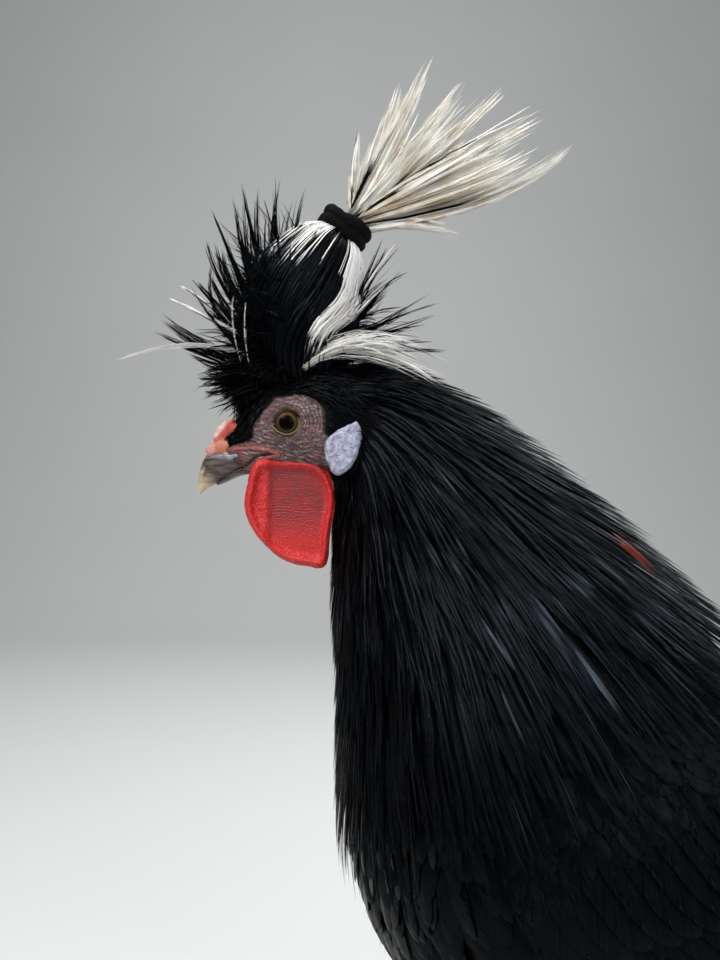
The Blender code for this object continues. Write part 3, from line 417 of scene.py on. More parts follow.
class Board:
    """A material's node tree, with short calls that add nodes and join them."""

    def __init__(self, name: str) -> None:
        """Starts a material with its principled shader."""
        self.material = bpy.data.materials.new(name)
        self.material.use_nodes = True
        self.tree = self.material.node_tree

    def fill(self, socket: Socket, value: object) -> None:
        """Joins a socket to another, or sets it."""
        if isinstance(value, Socket):
            self.tree.links.new(value, socket)
        elif isinstance(value, tuple) and socket.type == "RGBA":
            socket.default_value = (*value, 1.0)
        else:
            socket.default_value = value

    def add(self, kind: str, inputs: dict, output: int | str = 0, **settings: object) -> Socket:
        """Adds a node.

        Args:
            kind: The node's type, without the word ShaderNode.
            inputs: Values or sockets for its inputs.
            output: Which of its outputs to give.
            settings: Its other settings.

        Returns:
            The output.
        """
        node = self.tree.nodes.new("ShaderNode" + kind)
        for setting, value in settings.items():
            setattr(node, setting, value)
        for key, value in inputs.items():
            self.fill(node.inputs[key], value)
        return node.outputs[output]

    def attribute(self, name: str) -> Socket:
        """A number kept on the mesh."""
        return self.add("Attribute", {}, "Fac", attribute_name=name)

    def place(self) -> Socket:
        """The place on the piece, in metres."""
        return self.add("TexCoord", {}, "Object")

    def sum(self, operation: str, first: object, second: object = 0.0) -> Socket:
        """A sum on two numbers."""
        return self.add("Math", {0: first, 1: second}, operation=operation)

    plus = partialmethod(sum, "ADD")
    less = partialmethod(sum, "SUBTRACT")
    times = partialmethod(sum, "MULTIPLY")

    def vector(self, x: object, y: object) -> Socket:
        """A vector from two numbers."""
        return self.add("CombineXYZ", {0: x, 1: y})

    def stretched(self, scale: Sequence[float], lean: float = 0.0) -> Socket:
        """The place on the piece, scaled, and turned about the y axis."""
        return self.add("Mapping", {"Vector": self.place(), "Scale": scale, "Rotation": (0, lean, 0)})

    def noise(self, scale: float, detail: float = 3.0, at: Socket | None = None) -> Socket:
        """Smooth noise from 0 to 1, over the place on the piece or another vector."""
        inputs = {"Vector": at or self.place(), "Scale": scale, "Detail": detail}
        return self.add("TexNoise", inputs, "Fac")

    def cells(self, scale: float, at: Socket | None = None, **settings: str) -> Socket:
        """The distance to the nearest of many scattered points."""
        return self.add("TexVoronoi", {"Vector": at or self.place(), "Scale": scale}, **settings)

    def spread(self, value: object, low: float, high: float, first: float = 0.0, last: float = 1.0) -> Socket:
        """A number moved from one range to another, and kept inside it."""
        return self.add("MapRange", {0: value, 1: low, 2: high, 3: first, 4: last})

    def blend(self, share: object, first: object, second: object) -> Socket:
        """A colour between two others."""
        return self.add("Mix", {0: share, 6: first, 7: second}, 2, data_type="RGBA")

    def bump(self, height: Socket, strength: float, millimetres: float) -> Socket:
        """A surface normal bent by a height, which from 0 to 1 stands for so many millimetres."""
        depth = millimetres * MILLIMETRE
        return self.add("Bump", {"Height": height, "Strength": strength, "Distance": depth})

    def finish(self, **values: object) -> Material:
        """Sets the shader's inputs, named with _ for a space, and returns the material."""
        for name, value in values.items():
            self.fill(self.tree.nodes["Principled BSDF"].inputs[name.replace("_", " ")], value)
        return self.material


@dataclass(frozen=True)
class FeatherFinish:
    """Black feathers with a slate gloss, cream where the white attribute is set, finely barbed, with painted
    highlight: blue-grey glint lines coloured onto strands with a small white value.
    """

    name: str = "glossy_feather"
    black: Colour = (0.0012, 0.0013, 0.0016)
    slate: Colour = (0.0035, 0.0042, 0.006)
    painted_glint: Colour = (0.085, 0.105, 0.135)
    cream: Colour = (0.88, 0.88, 0.87)
    ivory: Colour = (0.9, 0.88, 0.8)
    tan: Colour = (0.6, 0.43, 0.25)
    rust: Colour = (0.1, 0.014, 0.006)
    core: Pair = (0.0, 0.3)

    def build(self) -> Material:
        """Makes the material."""
        board = Board(self.name)
        barb, seed, share, white = map(board.attribute, ("barb", "seed", "share", "white"))
        spot = board.vector(barb, board.times(seed, 80.0))
        fine, broad = board.noise(2.6, 2.0, spot), board.noise(0.5, 3.0, spot)
        # Slate streaks along the barbs: partly random tone and partly painted sheen.
        dark = board.blend(board.spread(broad, 0.35, 0.75), self.black, self.slate)
        # Painted highlight: strands with a small white value take the blue-grey glint colour, in patches over the
        # body.
        patches = board.spread(board.noise(38.0, 2.0), 0.44, 0.58, 0.15, 1.0)
        dark = board.blend(board.times(board.spread(white, 0.06, 0.22), patches), dark, self.painted_glint)
        mixed = board.plus(board.noise(95.0, 2.0), board.times(seed, 0.3))
        rooted = board.spread(share, 0.25, 0.9, 1.0, 0.0)
        core = board.times(rooted, board.spread(mixed, 0.58, 0.76, *self.core))
        pale = board.blend(core, self.cream, self.tan)
        pale = board.blend(board.spread(fine, 0.35, 0.7, 0.0, 0.4), pale, self.ivory)
        colour = board.blend(board.spread(white, 0.25, 0.75), dark, pale)
        colour = board.blend(board.spread(white, -0.25, -0.75), colour, self.rust)
        return board.finish(
            Base_Color=colour,
            Roughness=board.spread(fine, 0.3, 0.7, 0.18, 0.32),
            Normal=board.bump(fine, 0.45, 0.15),
            Specular_IOR_Level=0.055,
            Specular_Tint=(0.72, 0.86, 1.0),
        )


@dataclass(frozen=True)
class SkinFinish:
    """Thin wrinkled skin: mauve and pink on the face, with folds paler on their crests, partly whitish papillae
    and partly painted highlight, and painted shade in their grooves; painted shade where the dark attribute is
    set, and near black as painted shade where feathers cover it.
    """

    name: str = "face_skin"
    mauve: Colour = (0.118, 0.075, 0.078)
    pale: Colour = (0.5, 0.38, 0.37)
    groove: Colour = (0.03, 0.014, 0.016)
    red: Colour = (0.22, 0.05, 0.055)
    # Painted shade: the skin under the feathers is coloured near black, as shade between them.
    covered: Colour = (0.0015, 0.0015, 0.002)
    yellow: Colour = (0.16, 0.132, 0.07)
    flushed: Colour = (0.42, 0.115, 0.095)
    shadow: Colour = (0.03, 0.016, 0.013)

    def build(self) -> Material:
        """Makes the material."""
        board = Board(self.name)
        creases = board.noise(1.0, 4.0, board.stretched((300, 300, 1000), 0.3))
        patches = board.noise(260.0, 4.0)
        grain = board.cells(1.0, board.stretched((1500, 1500, 950), 0.45))
        bare = board.attribute("bare")
        height = board.plus(creases, board.times(board.attribute("fold"), 0.2))
        # Painted light in the folds: pale on their crests and beads, partly whitish papillae and partly painted
        # highlight; the groove colour in their hollows is painted shade.
        skin = board.blend(board.spread(height, 0.54, 0.86), self.mauve, self.pale)
        beads = board.times(board.spread(grain, 0.12, 0.44, 0.75, 0.0), board.spread(height, 0.42, 0.62))
        skin = board.blend(beads, skin, self.pale)
        skin = board.blend(board.spread(height, 0.44, 0.22, 0.0, 0.85), skin, self.groove)
        skin = board.blend(board.spread(patches, 0.5, 0.7, 0.0, 0.36), skin, self.red)
        # The dark attribute brings in the shadow colour: painted shade in the mouth's slit, at the bill's root,
        # under the throat and on the upper lids.
        for word, tint in (("ring", self.yellow), ("flush", self.flushed), ("dark", self.shadow)):
            skin = board.blend(board.attribute(word), skin, tint)
        rough = board.spread(patches, 0.3, 0.7, 0.38, 0.58)
        return board.finish(
            Base_Color=board.blend(bare, self.covered, skin),
            Roughness=board.sum("MAXIMUM", board.spread(bare, 0.0, 1.0, 0.98, 0.0), rough),
            Normal=board.bump(board.less(height, board.times(grain, 0.45)), 1.0, 0.5),
            Subsurface_Weight=0.05,
            Subsurface_Scale=0.001,
            Specular_IOR_Level=0.22,
        )


@dataclass(frozen=True)
class FleshFinish:
    """Moist, pebbled red flesh, duller in the dish of a wattle and paler on its grains, with tan patches and
    whitish painted highlight on the comb.
    """

    name: str = "red_flesh"
    bright: Colour = (0.6, 0.016, 0.016)
    deep: Colour = (0.45, 0.012, 0.012)
    dull: Colour = (0.25, 0.022, 0.025)
    grain: Colour = (0.78, 0.11, 0.09)
    tan: Colour = (0.56, 0.2, 0.1)
    whitish: Colour = (0.7, 0.55, 0.48)

    def build(self) -> Material:
        """Makes the material."""
        board = Board(self.name)
        dish, rim, tan, worn = map(board.attribute, ("dish", "rim", "tan", "worn"))
        cells, patches = board.cells(1250.0), board.noise(150.0, 3.0)
        lines = board.noise(1.0, 2.0, board.stretched((90, 90, 1100)))
        red = board.blend(dish, self.bright, self.dull)
        red = board.blend(board.spread(patches, 0.4, 0.65, 0.0, 0.5), red, self.deep)
        colour = board.blend(board.times(board.spread(cells, 0.1, 0.45, 0.85, 0.0), rim), red, self.grain)
        # Whitish on the comb's front edge and nostril bulb: painted highlight.
        colour = board.blend(worn, board.blend(tan, colour, self.tan), self.whitish)
        height = board.less(board.times(board.times(lines, dish), 1.2), cells)
        return board.finish(
            Base_Color=colour,
            Roughness=board.spread(cells, 0.1, 0.6, 0.34, 0.52),
            Normal=board.bump(height, 0.8, 0.3),
            Subsurface_Weight=0.1,
            Subsurface_Radius=(1.0, 0.25, 0.12),
            Subsurface_Scale=0.0014,
        )


@dataclass(frozen=True)
class LobeFinish:
    """The soft earlobe, white with lavender patches and a few dull flecks."""

    name: str = "white_lobe"
    white: Colour = (0.5, 0.55, 0.66)
    lavender: Colour = (0.26, 0.24, 0.4)
    fleck: Colour = (0.17, 0.11, 0.14)

    def build(self) -> Material:
        """Makes the material."""
        board = Board(self.name)
        patches = board.noise(420.0, 5.0)
        colour = board.blend(board.spread(patches, 0.38, 0.66), self.white, self.lavender)
        flecks = board.spread(board.noise(1300.0, 3.0), 0.54, 0.68, 0.0, 0.75)
        colour = board.blend(flecks, colour, self.fleck)
        normal = board.bump(board.less(patches, board.cells(1300.0)), 0.7, 0.3)
        glow = {"Subsurface_Weight": 0.08, "Subsurface_Scale": 0.001}
        return board.finish(Base_Color=colour, Roughness=0.55, Normal=normal, **glow)


@dataclass(frozen=True)
class HornFinish:
    """The bill's horn: dark and streaked, cream at the tip and bluish white at its root."""

    name: str = "bill_horn"
    dark: Colour = (0.05, 0.036, 0.036)
    streak: Colour = (0.165, 0.12, 0.105)
    tip: Colour = (0.62, 0.48, 0.31)
    root: Colour = (0.46, 0.47, 0.55)

    def build(self) -> Material:
        """Makes the material."""
        board = Board(self.name)
        streaks = board.noise(1.0, 4.0, board.stretched((120, 260, 620), 0.75))
        horn = board.blend(board.spread(streaks, 0.42, 0.68), self.dark, self.streak)
        worn = board.plus(board.attribute("tip"), board.spread(streaks, 0.3, 0.7, -0.15, 0.15))
        horn = board.blend(board.spread(worn, 0.22, 1.0), horn, self.tip)
        pale = board.plus(board.attribute("root"), board.spread(streaks, 0.3, 0.7, -0.2, 0.2))
        colour = board.blend(board.spread(pale, 0.25, 1.0), horn, self.root)
        rough = board.spread(streaks, 0.3, 0.7, 0.26, 0.42)
        return board.finish(Base_Color=colour, Roughness=rough, Normal=board.bump(streaks, 0.35, 0.2))


@dataclass(frozen=True)
class EyeFinish:
    """A wet eye with a black pupil and an olive and amber iris, darker towards its lower front as painted shade.
    """

    name: str = "eye"
    olive: Colour = (0.036, 0.022, 0.007)
    amber: Colour = (0.092, 0.054, 0.014)
    ray: Colour = (0.11, 0.072, 0.022)
    rim: Colour = (0.022, 0.009, 0.006)
    inner: Colour = (0.055, 0.028, 0.008)
    white: Colour = (0.22, 0.25, 0.29)
    pupil: Colour = (0.0006, 0.0006, 0.0008)

    def build(self) -> Material:
        """Makes the material."""
        board = Board(self.name)
        ring, turn = board.attribute("ring"), board.attribute("turn")
        rays = board.noise(9.0, 3.0, board.vector(turn, board.times(ring, 1.5)))
        # Painted shade: the iris runs from amber at its upper back to dark olive at its lower front.
        iris = board.blend(board.spread(board.attribute("height"), -0.9, 0.7), self.olive, self.amber)
        iris = board.blend(board.spread(rays, 0.4, 0.7, 0.0, 0.5), iris, self.ray)
        iris = board.blend(board.spread(ring, 0.8, 1.0), iris, self.rim)
        iris = board.blend(board.spread(ring, 0.76, 0.66), iris, self.inner)
        back = board.spread(board.sum("COSINE", board.plus(turn, 0.25)), 0.7, 0.95)
        iris = board.blend(board.times(back, board.spread(ring, 0.97, 1.02)), iris, self.white)
        colour = board.blend(board.spread(ring, 0.66, 0.64), iris, self.pupil)
        wet = {"Specular_IOR_Level": 0.03, "Coat_Weight": 0.06, "Coat_Roughness": 0.02}
        return board.finish(Base_Color=colour, Roughness=0.35, **wet)


@dataclass(frozen=True)
class LegFinish:
    """Slate-coloured scales with paler, dusty edges."""

    name: str = "slate_leg"
    slate: Colour = (0.085, 0.095, 0.11)
    grey: Colour = (0.14, 0.15, 0.16)
    pale: Colour = (0.26, 0.26, 0.26)
    groove: Colour = (0.035, 0.038, 0.044)

    def build(self) -> Material:
        """Makes the material."""
        board = Board(self.name)
        patches = board.noise(220.0, 4.0)
        grooves = board.spread(board.cells(620.0, feature="DISTANCE_TO_EDGE"), 0.0, 0.12, 1.0, 0.0)
        colour = board.blend(board.spread(patches, 0.4, 0.68), self.slate, self.grey)
        colour = board.blend(board.attribute("edge"), colour, self.pale)
        small = board.times(grooves, board.attribute("grain"))
        return board.finish(
            Base_Color=board.blend(small, colour, self.groove),
            Roughness=board.spread(patches, 0.3, 0.7, 0.38, 0.58),
            Normal=board.bump(board.less(board.times(patches, 0.3), small), 0.6, 0.25),
        )


@dataclass(frozen=True)
class ClawFinish:
    """Dark horn with growth lines."""

    name: str = "claw_horn"
    dark: Colour = (0.055, 0.048, 0.045)
    line: Colour = (0.2, 0.17, 0.14)

    def build(self) -> Material:
        """Makes the material."""
        board = Board(self.name)
        lines = board.noise(1.0, 3.0, board.stretched((700, 300, 300)))
        colour = board.blend(board.spread(lines, 0.4, 0.7), self.dark, self.line)
        return board.finish(Base_Color=colour, Roughness=0.36, Normal=board.bump(lines, 0.3, 0.1))


@dataclass(frozen=True)
class ElasticFinish:
    """Matt black elastic, ribbed along the cord and a little fuzzy."""

    name: str = "black_elastic"
    valley: Colour = (0.0015, 0.0015, 0.0018)
    thread: Colour = (0.006, 0.006, 0.007)

    def build(self) -> Material:
        """Makes the material."""
        board = Board(self.name)
        along = board.times(board.attribute("along"), 60.0)
        around = board.times(board.attribute("around"), 6.0)
        weave = board.sum("SINE", board.plus(along, around))
        height = board.sum("MAXIMUM", weave, board.sum("SINE", board.less(along, around)))
        colour = board.blend(board.spread(height, -0.2, 1.0), self.valley, self.thread)
        normal = board.bump(board.plus(height, board.noise(2600.0, 2.0)), 0.8, 0.35)
        return board.finish(Base_Color=colour, Roughness=0.9, Normal=normal, Specular_IOR_Level=0.1)


@dataclass(frozen=True)
class FloorFinish:
    """The studio's pale matt floor and backdrop, brighter far away."""

    name: str = "studio_floor"
    low: Colour = (0.6, 0.6, 0.59)
    high: Colour = (0.63, 0.63, 0.62)
    far: Colour = (0.94, 0.94, 0.94)

    def build(self) -> Material:
        """Makes the material."""
        board = Board(self.name)
        colour = board.blend(board.noise(3.0), self.low, self.high)
        away = board.add("VectorMath", {0: board.place()}, "Value", operation="LENGTH")
        colour = board.blend(board.spread(away, 3.2, 9.0), colour, self.far)
        return board.finish(Base_Color=colour, Roughness=0.85)


@dataclass(frozen=True)
class FeatherShape:
    """How one kind of feather is drawn.

    shares are the places of its sections from root to tip, and widths the share of its half width at each but
    the tip. flare says how far its loose barbs reach past its edge.
    """

    shares: tuple[float, ...]
    widths: tuple[float, ...]
    ridge: float = 0.1
    thickness: float = 0.00012
    barbs: int = 4
    barb_reach: float = 0.2
    barb_width: float = 0.00028
    flare: float = 1.15

    @property
    def steps(self) -> Array:
        """The places of the sections, as an array."""
        return np.array(self.shares)


SLIM = (0.0, 0.12, 0.3, 0.5, 0.7, 0.86, 1.0)
EVEN = (0.0, 0.15, 0.35, 0.55, 0.75, 0.9, 1.0)
LONG = (0.0, 0.1, 0.2, 0.32, 0.44, 0.56, 0.68)
BROAD = (0.0, 0.18, 0.42, 0.66, 0.86, 0.95, 1.0)
BLUNT = (0.0, 0.08, 0.25, 0.5, 0.75, 0.9, 0.97, 1.0)
ARCHED = (0.3, 0.7, 0.95, 1.0, 1.0, 1.0, 0.95, 0.82, 0.62, 0.34)
NARROW = (0.6, 0.9, 1.0, 1.0, 1.0, 0.95, 0.85, 0.7, 0.45)
BARB = FeatherShape((0.0, 1.0), (1.0,), ridge=0.5, thickness=0.0, barbs=0)
LANCE = FeatherShape(SLIM, (0.25, 0.75, 1.0, 0.95, 0.72, 0.38), barbs=8)
LEAF = FeatherShape(BROAD, (0.3, 0.75, 1.0, 0.96, 0.66, 0.34), 0.16, barbs=6, barb_width=0.0002)
QUILL = FeatherShape(BLUNT, (0.2, 0.7, 1.0, 1.0, 0.92, 0.7, 0.4), 0.12, barbs=20, barb_reach=0.08)
FRAY = FeatherShape(EVEN, (0.5, 0.9, 1.0, 0.85, 0.55, 0.28), 0.2, 0.00006, 11, 0.2, 0.00007, 2.2)
WISP = FeatherShape((0.0, 0.22, 0.48, 0.74, 1.0), (0.8, 1.0, 0.7, 0.35), 0.25, 0.00012, 4, 0.3, 0.00011, 1.2)
HAIR = FeatherShape((*LONG, 0.8, 0.9, 1.0), NARROW, 0.25, 0.00006, 0)
STRAND = FeatherShape(EVEN, (0.5, 0.9, 1.0, 0.9, 0.64, 0.34), 0.2, 0.00006, 8, 0.24, 0.0001, 1.3)
SILK = FeatherShape(SLIM, (0.3, 0.8, 1.0, 0.95, 0.72, 0.38), 0.16, 0.0001, 6, 0.32, 0.00012, 1.0)
SICKLE = FeatherShape((*LONG, 0.78, 0.87, 0.95, 1.0), ARCHED, barbs=24, barb_reach=0.06)


def read_along(values: Array, shares: Array, places: Array) -> Array:
    """Reads values of feathers and sections at places between their shares."""
    slot = np.clip(np.searchsorted(shares, places, side="right") - 1, 0, len(shares) - 2)
    part = ((places - shares[slot]) / (shares[slot + 1] - shares[slot]))[..., None]
    row = np.arange(len(values))[:, None]
    return values[row, slot] * (1 - part) + values[row, slot + 1] * part


class Plumage:
    """Feathers collected as arrays, each a thin closed vane with a raised shaft, and made into one mesh."""

    NUMBERS = ("barb", "seed", "share", "white")
    PATCH = 0.003
    SLANT = 1.7
    SHAFT, TIP = 1, 3

    def __init__(self, name: str, seed: int) -> None:
        """Starts an empty lot of feathers."""
        self.name = name
        self.rng = np.random.default_rng(seed)
        self.lots: dict[str, list[Array]] = {}
        self.total = 0

    def keep(self, word: str, values: Array) -> None:
        """Adds values to one of the collected arrays."""
        self.lots.setdefault(word, []).append(values)

    def add(
        self,
        paths: Array,
        normals: Array,
        half_widths: Array | float,
        roots: Array,
        shape: FeatherShape,
        white: Array | float = 0.0,
        seeds: Array | None = None,
    ) -> None:
        """Adds many feathers of one shape.

        Args:
            paths: Feathers, sections and coordinates of their middle lines.
            normals: The ways that their upper faces look.
            half_widths: Half the width of each.
            roots: Where each grows on the skin's unwrap.
            shape: Their shape.
            white: Whiteness, for each feather and section or for all; a small value marks a strand for the
                painted highlight colour of a glint.
            seeds: A random number for each feather, if it isn't drawn here.
        """
        count, rows = paths.shape[:2]
        corners = 3 * rows - 2
        seeds = self.rng.random(count) if seeds is None else seeds
        white = np.broadcast_to(white, (count, rows))
        ahead = unit(np.gradient(paths, axis=1))
        across = unit(np.cross(ahead, normals))
        upward = np.cross(across, ahead)
        uneven = self.rng.uniform(0.92, 1.06, (count, rows - 1))
        width = np.broadcast_to(half_widths, count)[:, None] * np.array(shape.widths) * uneven
        steps = np.cumsum(np.linalg.norm(np.diff(paths, axis=1), axis=2), axis=1)
        length = np.concatenate([np.zeros((count, 1)), steps], axis=1)
        middle, out = paths[:, :-1], across[:, :-1] * width[..., None]
        shaft = middle + upward[:, :-1] * (width * shape.ridge + shape.thickness)[..., None]
        sections = np.stack([middle - out, shaft, middle + out], axis=2).reshape(count, -1, 3)
        self.keep("points", np.concatenate([sections, paths[:, -1:]], axis=1).reshape(-1, 3))
        edge = length[:, :-1] - self.SLANT * width
        slant = np.stack([edge, length[:, :-1], edge], axis=2).reshape(count, -1)
        self.keep("barb", np.concatenate([slant, length[:, -1:]], axis=1).ravel() / MILLIMETRE)
        share = self.by_vertex(np.broadcast_to(shape.steps, (count, rows)))
        self.keep("share", share.ravel())
        self.keep("white", self.by_vertex(white).ravel())
        self.keep("seed", np.repeat(seeds, corners))
        sideways = np.concatenate([np.tile([-0.5, 0.0, 0.5], rows - 1), [0.0]])
        patch = np.stack(np.broadcast_arrays(sideways, share - 0.5), axis=-1) * self.PATCH
        self.keep("patches", (roots[:, None] + patch).reshape(-1, 2))
        self.keep("kinds", np.tile([*(0, self.SHAFT, 2) * (rows - 1), self.TIP], count))
        block = np.arange(count)[:, None, None] * corners + self.total
        self.keep("faces", (self.template(rows) + block).reshape(-1, 3))
        self.total += count * corners
        if shape.barbs:
            widths = np.concatenate([width, np.zeros((count, 1))], axis=1)
            self.add_barbs((paths, across, upward, widths), roots, shape, white, seeds)

    def add_barbs(
        self, feather: Sequence[Array], roots: Array, shape: FeatherShape, white: Array, seeds: Array
    ) -> None:
        """Adds loose barbs that leave the edges of feathers towards their tips.

        Args:
            feather: Middle lines, sideways and upward directions, and half widths.
            roots: Where the feathers grow on the skin's unwrap.
            shape: The feathers' shape.
            white: Their whiteness.
            seeds: Their random numbers.
        """
        paths, across, upward, widths = feather
        many, shares = shape.barbs * 2, shape.steps
        size = (len(paths), many)
        start = self.rng.uniform(0.15, 0.88, size)
        reach = np.minimum(shape.barb_reach * self.rng.uniform(0.6, 1.3, size), 0.995 - start)
        side = np.tile([-1.0, 1.0], shape.barbs)
        rise = self.rng.uniform(-0.15, 0.35, size)
        line = []
        for part, spread in ((0.0, 0.7), (1.0, shape.flare)):
            at = start + reach * part
            wide = read_along(widths[..., None], shares, at)[..., 0] * spread
            wide = wide + self.rng.uniform(0.0, 0.0005, size) * part
            out = read_along(across, shares, at) * (side * wide)[..., None]
            up = read_along(upward, shares, at) * (rise * wide * part + 0.00008)[..., None]
            line.append(read_along(paths, shares, at) + out + up)
        curves = np.stack(line, axis=2).reshape(-1, 2, 3)
        looks = read_along(upward, shares, start).reshape(-1, 1, 3)
        pale = read_along(white[..., None].astype(float), shares, start).reshape(-1, 1)
        thick = shape.barb_width * self.rng.uniform(0.7, 1.3, len(curves))
        self.add(curves, looks, thick, np.repeat(roots, many, axis=0), BARB, pale, np.repeat(seeds, many))

    @staticmethod
    def by_vertex(values: Array) -> Array:
        """Repeats a value of each section for its three vertices, and once for the tip."""
        return np.concatenate([np.repeat(values[:, :-1], 3, axis=1), values[:, -1:]], axis=1)

    @staticmethod
    def template(rows: int) -> Array:
        """The triangles of one feather with this many sections and its tip."""
        found = [(1, 0, 2)]
        for a in range(0, 3 * (rows - 2), 3):
            b = a + 3
            found += [(a, a + 1, b + 1), (a, b + 1, b), (a + 1, a + 2, b + 2), (a + 1, b + 2, b + 1)]
            found += [(a + 2, a, b), (a + 2, b, b + 2)]
        last, tip = 3 * (rows - 2), 3 * (rows - 1)
        return np.array([*found, (last, last + 1, tip), (last + 1, last + 2, tip), (last + 2, last, tip)])

    def build(self, slot: str, material: Material, nodes: Sequence[str] = ()) -> Piece:
        """Makes the mesh from all the feathers and dresses it.

        Args:
            slot: The record's slot.
            material: The feathers' material.
            nodes: The solids that the feathers stand for.

        Returns:
            The new piece.
        """
        lots = {word: np.concatenate(values) for word, values in self.lots.items()}
        faces = lots["faces"]
        mesh = bpy.data.meshes.new(self.name)
        mesh.vertices.add(self.total)
        mesh.vertices.foreach_set("co", (lots["points"] + SHIFT).astype(np.float32).ravel())
        mesh.loops.add(faces.size)
        mesh.loops.foreach_set("vertex_index", faces.ravel().astype(np.int32))
        mesh.polygons.add(len(faces))
        mesh.polygons.foreach_set("loop_start", np.arange(0, faces.size, 3, dtype=np.int32))
        mesh.update(calc_edges=True)
        self.sharpen_edges(mesh, lots["kinds"])
        piece = bpy.data.objects.new(self.name, mesh)
        bpy.context.scene.collection.objects.link(piece)
        store(piece, **{word: lots[word] for word in self.NUMBERS})
        unwrapped = lots["patches"][faces.ravel()].astype(np.float32)
        mesh.uv_layers.new(name="OFBake").data.foreach_set("uv", unwrapped.ravel())
        return finish_piece(piece, slot, material, nodes)

    def sharpen_edges(self, mesh: bpy.types.Mesh, kinds: Array) -> None:
        """Marks the feathers' outlines sharp, so that their faces shade as flat vanes."""
        ends = np.empty(len(mesh.edges) * 2, np.int32)
        mesh.edges.foreach_get("vertices", ends)
        low, high = np.sort(kinds[ends.reshape(-1, 2)], axis=1).T
        outline = ((low == high) | (high == self.TIP)) & (low != self.SHAFT)
        mesh.attributes.new("sharp_edge", "BOOLEAN", "EDGE").data.foreach_set("value", outline)


def skin_unwrap(station: Array | float, angle: Array) -> Array:
    """The place of points of the body on the skin's unwrap."""
    return np.stack(np.broadcast_arrays((angle % 360) / 360, station / BODY.last), axis=-1)


@dataclass(frozen=True)
class Coat:
    """One region of feathers that follow the body from head to tail.

    Sizes run along the stations in marks: station, feather length, half width and height of the coat.
    """

    name: str
    count: int
    angles: Pair
    marks: Rows
    shape: FeatherShape
    root_depth: float = 0.0015
    belly: float = 1.0
    sweep: float = 0.0
    loose: float = 0.12
    power: float = 0.75
    wander: float = 2.4
    white: float = 0.0
    tilt: float = 0.1
    # Share of strands given the painted highlight of a glint.
    painted_glint: float = 0.0

    def column(self, station: Array, which: int) -> Array:
        """One of the sizes at each station."""
        table = np.array(self.marks)
        return np.interp(station, table[:, 0], table[:, which])

    def scatter(self, rng: Chance) -> tuple[Array, Array]:
        """Draws the stations and the angles of the roots, closer where the feathers are smaller."""
        grid = np.linspace(self.marks[0][0], self.marks[-1][0], 80)
        ribs = BODY.rib(grid)
        girth = np.linalg.norm(ribs[:, 2:4] - ribs[:, 0:2], axis=1) + 2 * ribs[:, 4]
        line = BODY.point(grid, np.full_like(grid, np.mean(self.angles)))
        pace = np.linalg.norm(np.gradient(line, axis=0), axis=1)
        weight = np.cumsum(girth * pace / (self.column(grid, 1) * self.column(grid, 2)))
        station = np.interp(rng.random(self.count) * weight[-1], weight, grid)
        return station, rng.uniform(*self.angles, self.count) * rng.choice([-1, 1], self.count)

    def grow(self, plumage: Plumage, keep: Rule | None = None) -> None:
        """Adds the region's feathers.

        Args:
            plumage: The lot that they join.
            keep: Says for stations and angles which roots stay.
        """
        rng = plumage.rng
        station, angle = self.scatter(rng)
        if keep:
            chosen = keep(station, angle)
            station, angle = station[chosen], angle[chosen]
        count, shares = len(station), self.shape.steps
        length = self.column(station, 1) * rng.uniform(0.82, 1.12, count)
        places = BODY.advance(station, angle, length[:, None] * shares)
        drift = rng.normal(0, self.wander, count)[:, None] * shares**1.5
        turns = angle[:, None] + (drift + (np.sign(angle) * self.sweep)[:, None] * shares)
        height = self.column(places, 3) * np.interp(np.abs(turns), (100, 165), (1.0, self.belly))
        top = height * rng.uniform(1 - self.loose, 1.0, count)[:, None]
        lift = -self.root_depth + (top + self.root_depth) * shares**self.power
        normals = BODY.normal(places, turns) + rng.normal(0, self.tilt, (count, 1, 3))
        half = self.column(station, 2) * rng.uniform(0.8, 1.15, count)
        pale = rng.random(count) < self.white * soft_step(7.5, 5.5, station)
        # Painted highlight: a share of the hackle strands become narrow glint strands, marked with a small white
        # value that the feather material colours blue-grey.
        chance = self.painted_glint * soft_step(5.6, 7.0, station) * soft_step(110, 85, np.abs(angle))
        painted_shine = np.where(rng.random(count) < chance, 0.23, 0.0)
        half *= np.where(painted_shine > 0, 0.42, 1.0)
        tint = np.where(self.white < 0, -1.0, np.maximum(pale, painted_shine))[:, None] * soft_step(0.9, 0.4, shares)
        roots = skin_unwrap(station, angle)
        plumage.add(BODY.over(places, turns, lift), normals, half, roots, self.shape, tint)
        log.info("%s: %d feathers", self.name, count)


# Round the corner of the mouth: x and z in tenths of a millimetre.
GAPE = metres(((178, 4232), (254, 4236), (325, 4227), (372, 4206), (330, 4196), (279, 4192)))


def lid_reach(turn: Array) -> Array:
    """How far the edge of the lids lies from the pupil's middle, by the angle from backward towards up."""
    known = (0, 18, 34, 50, 72, 93, 115, 136, 160, 175, 187, 205, 240, 270, 300, 325, 345)
    reach = (5.4, 5.6, 5.9, 5.4, 5.2, 5.4, 4.8, 4.5, 5.0, 5.7, 6.2, 5.3, 4.6, 4.6, 4.6, 4.8, 5.1)
    return np.interp(np.degrees(turn) % 360, known, reach, period=360) * MILLIMETRE


def from_pupil(places: Array) -> tuple[Array, Array, Array]:
    """How far places lie behind the pupil's middle, above it and, in the side view, from it."""
    back, up = places[:, 0] - PUPIL[0], places[:, 2] - PUPIL[1]
    return back, up, np.hypot(back, up)


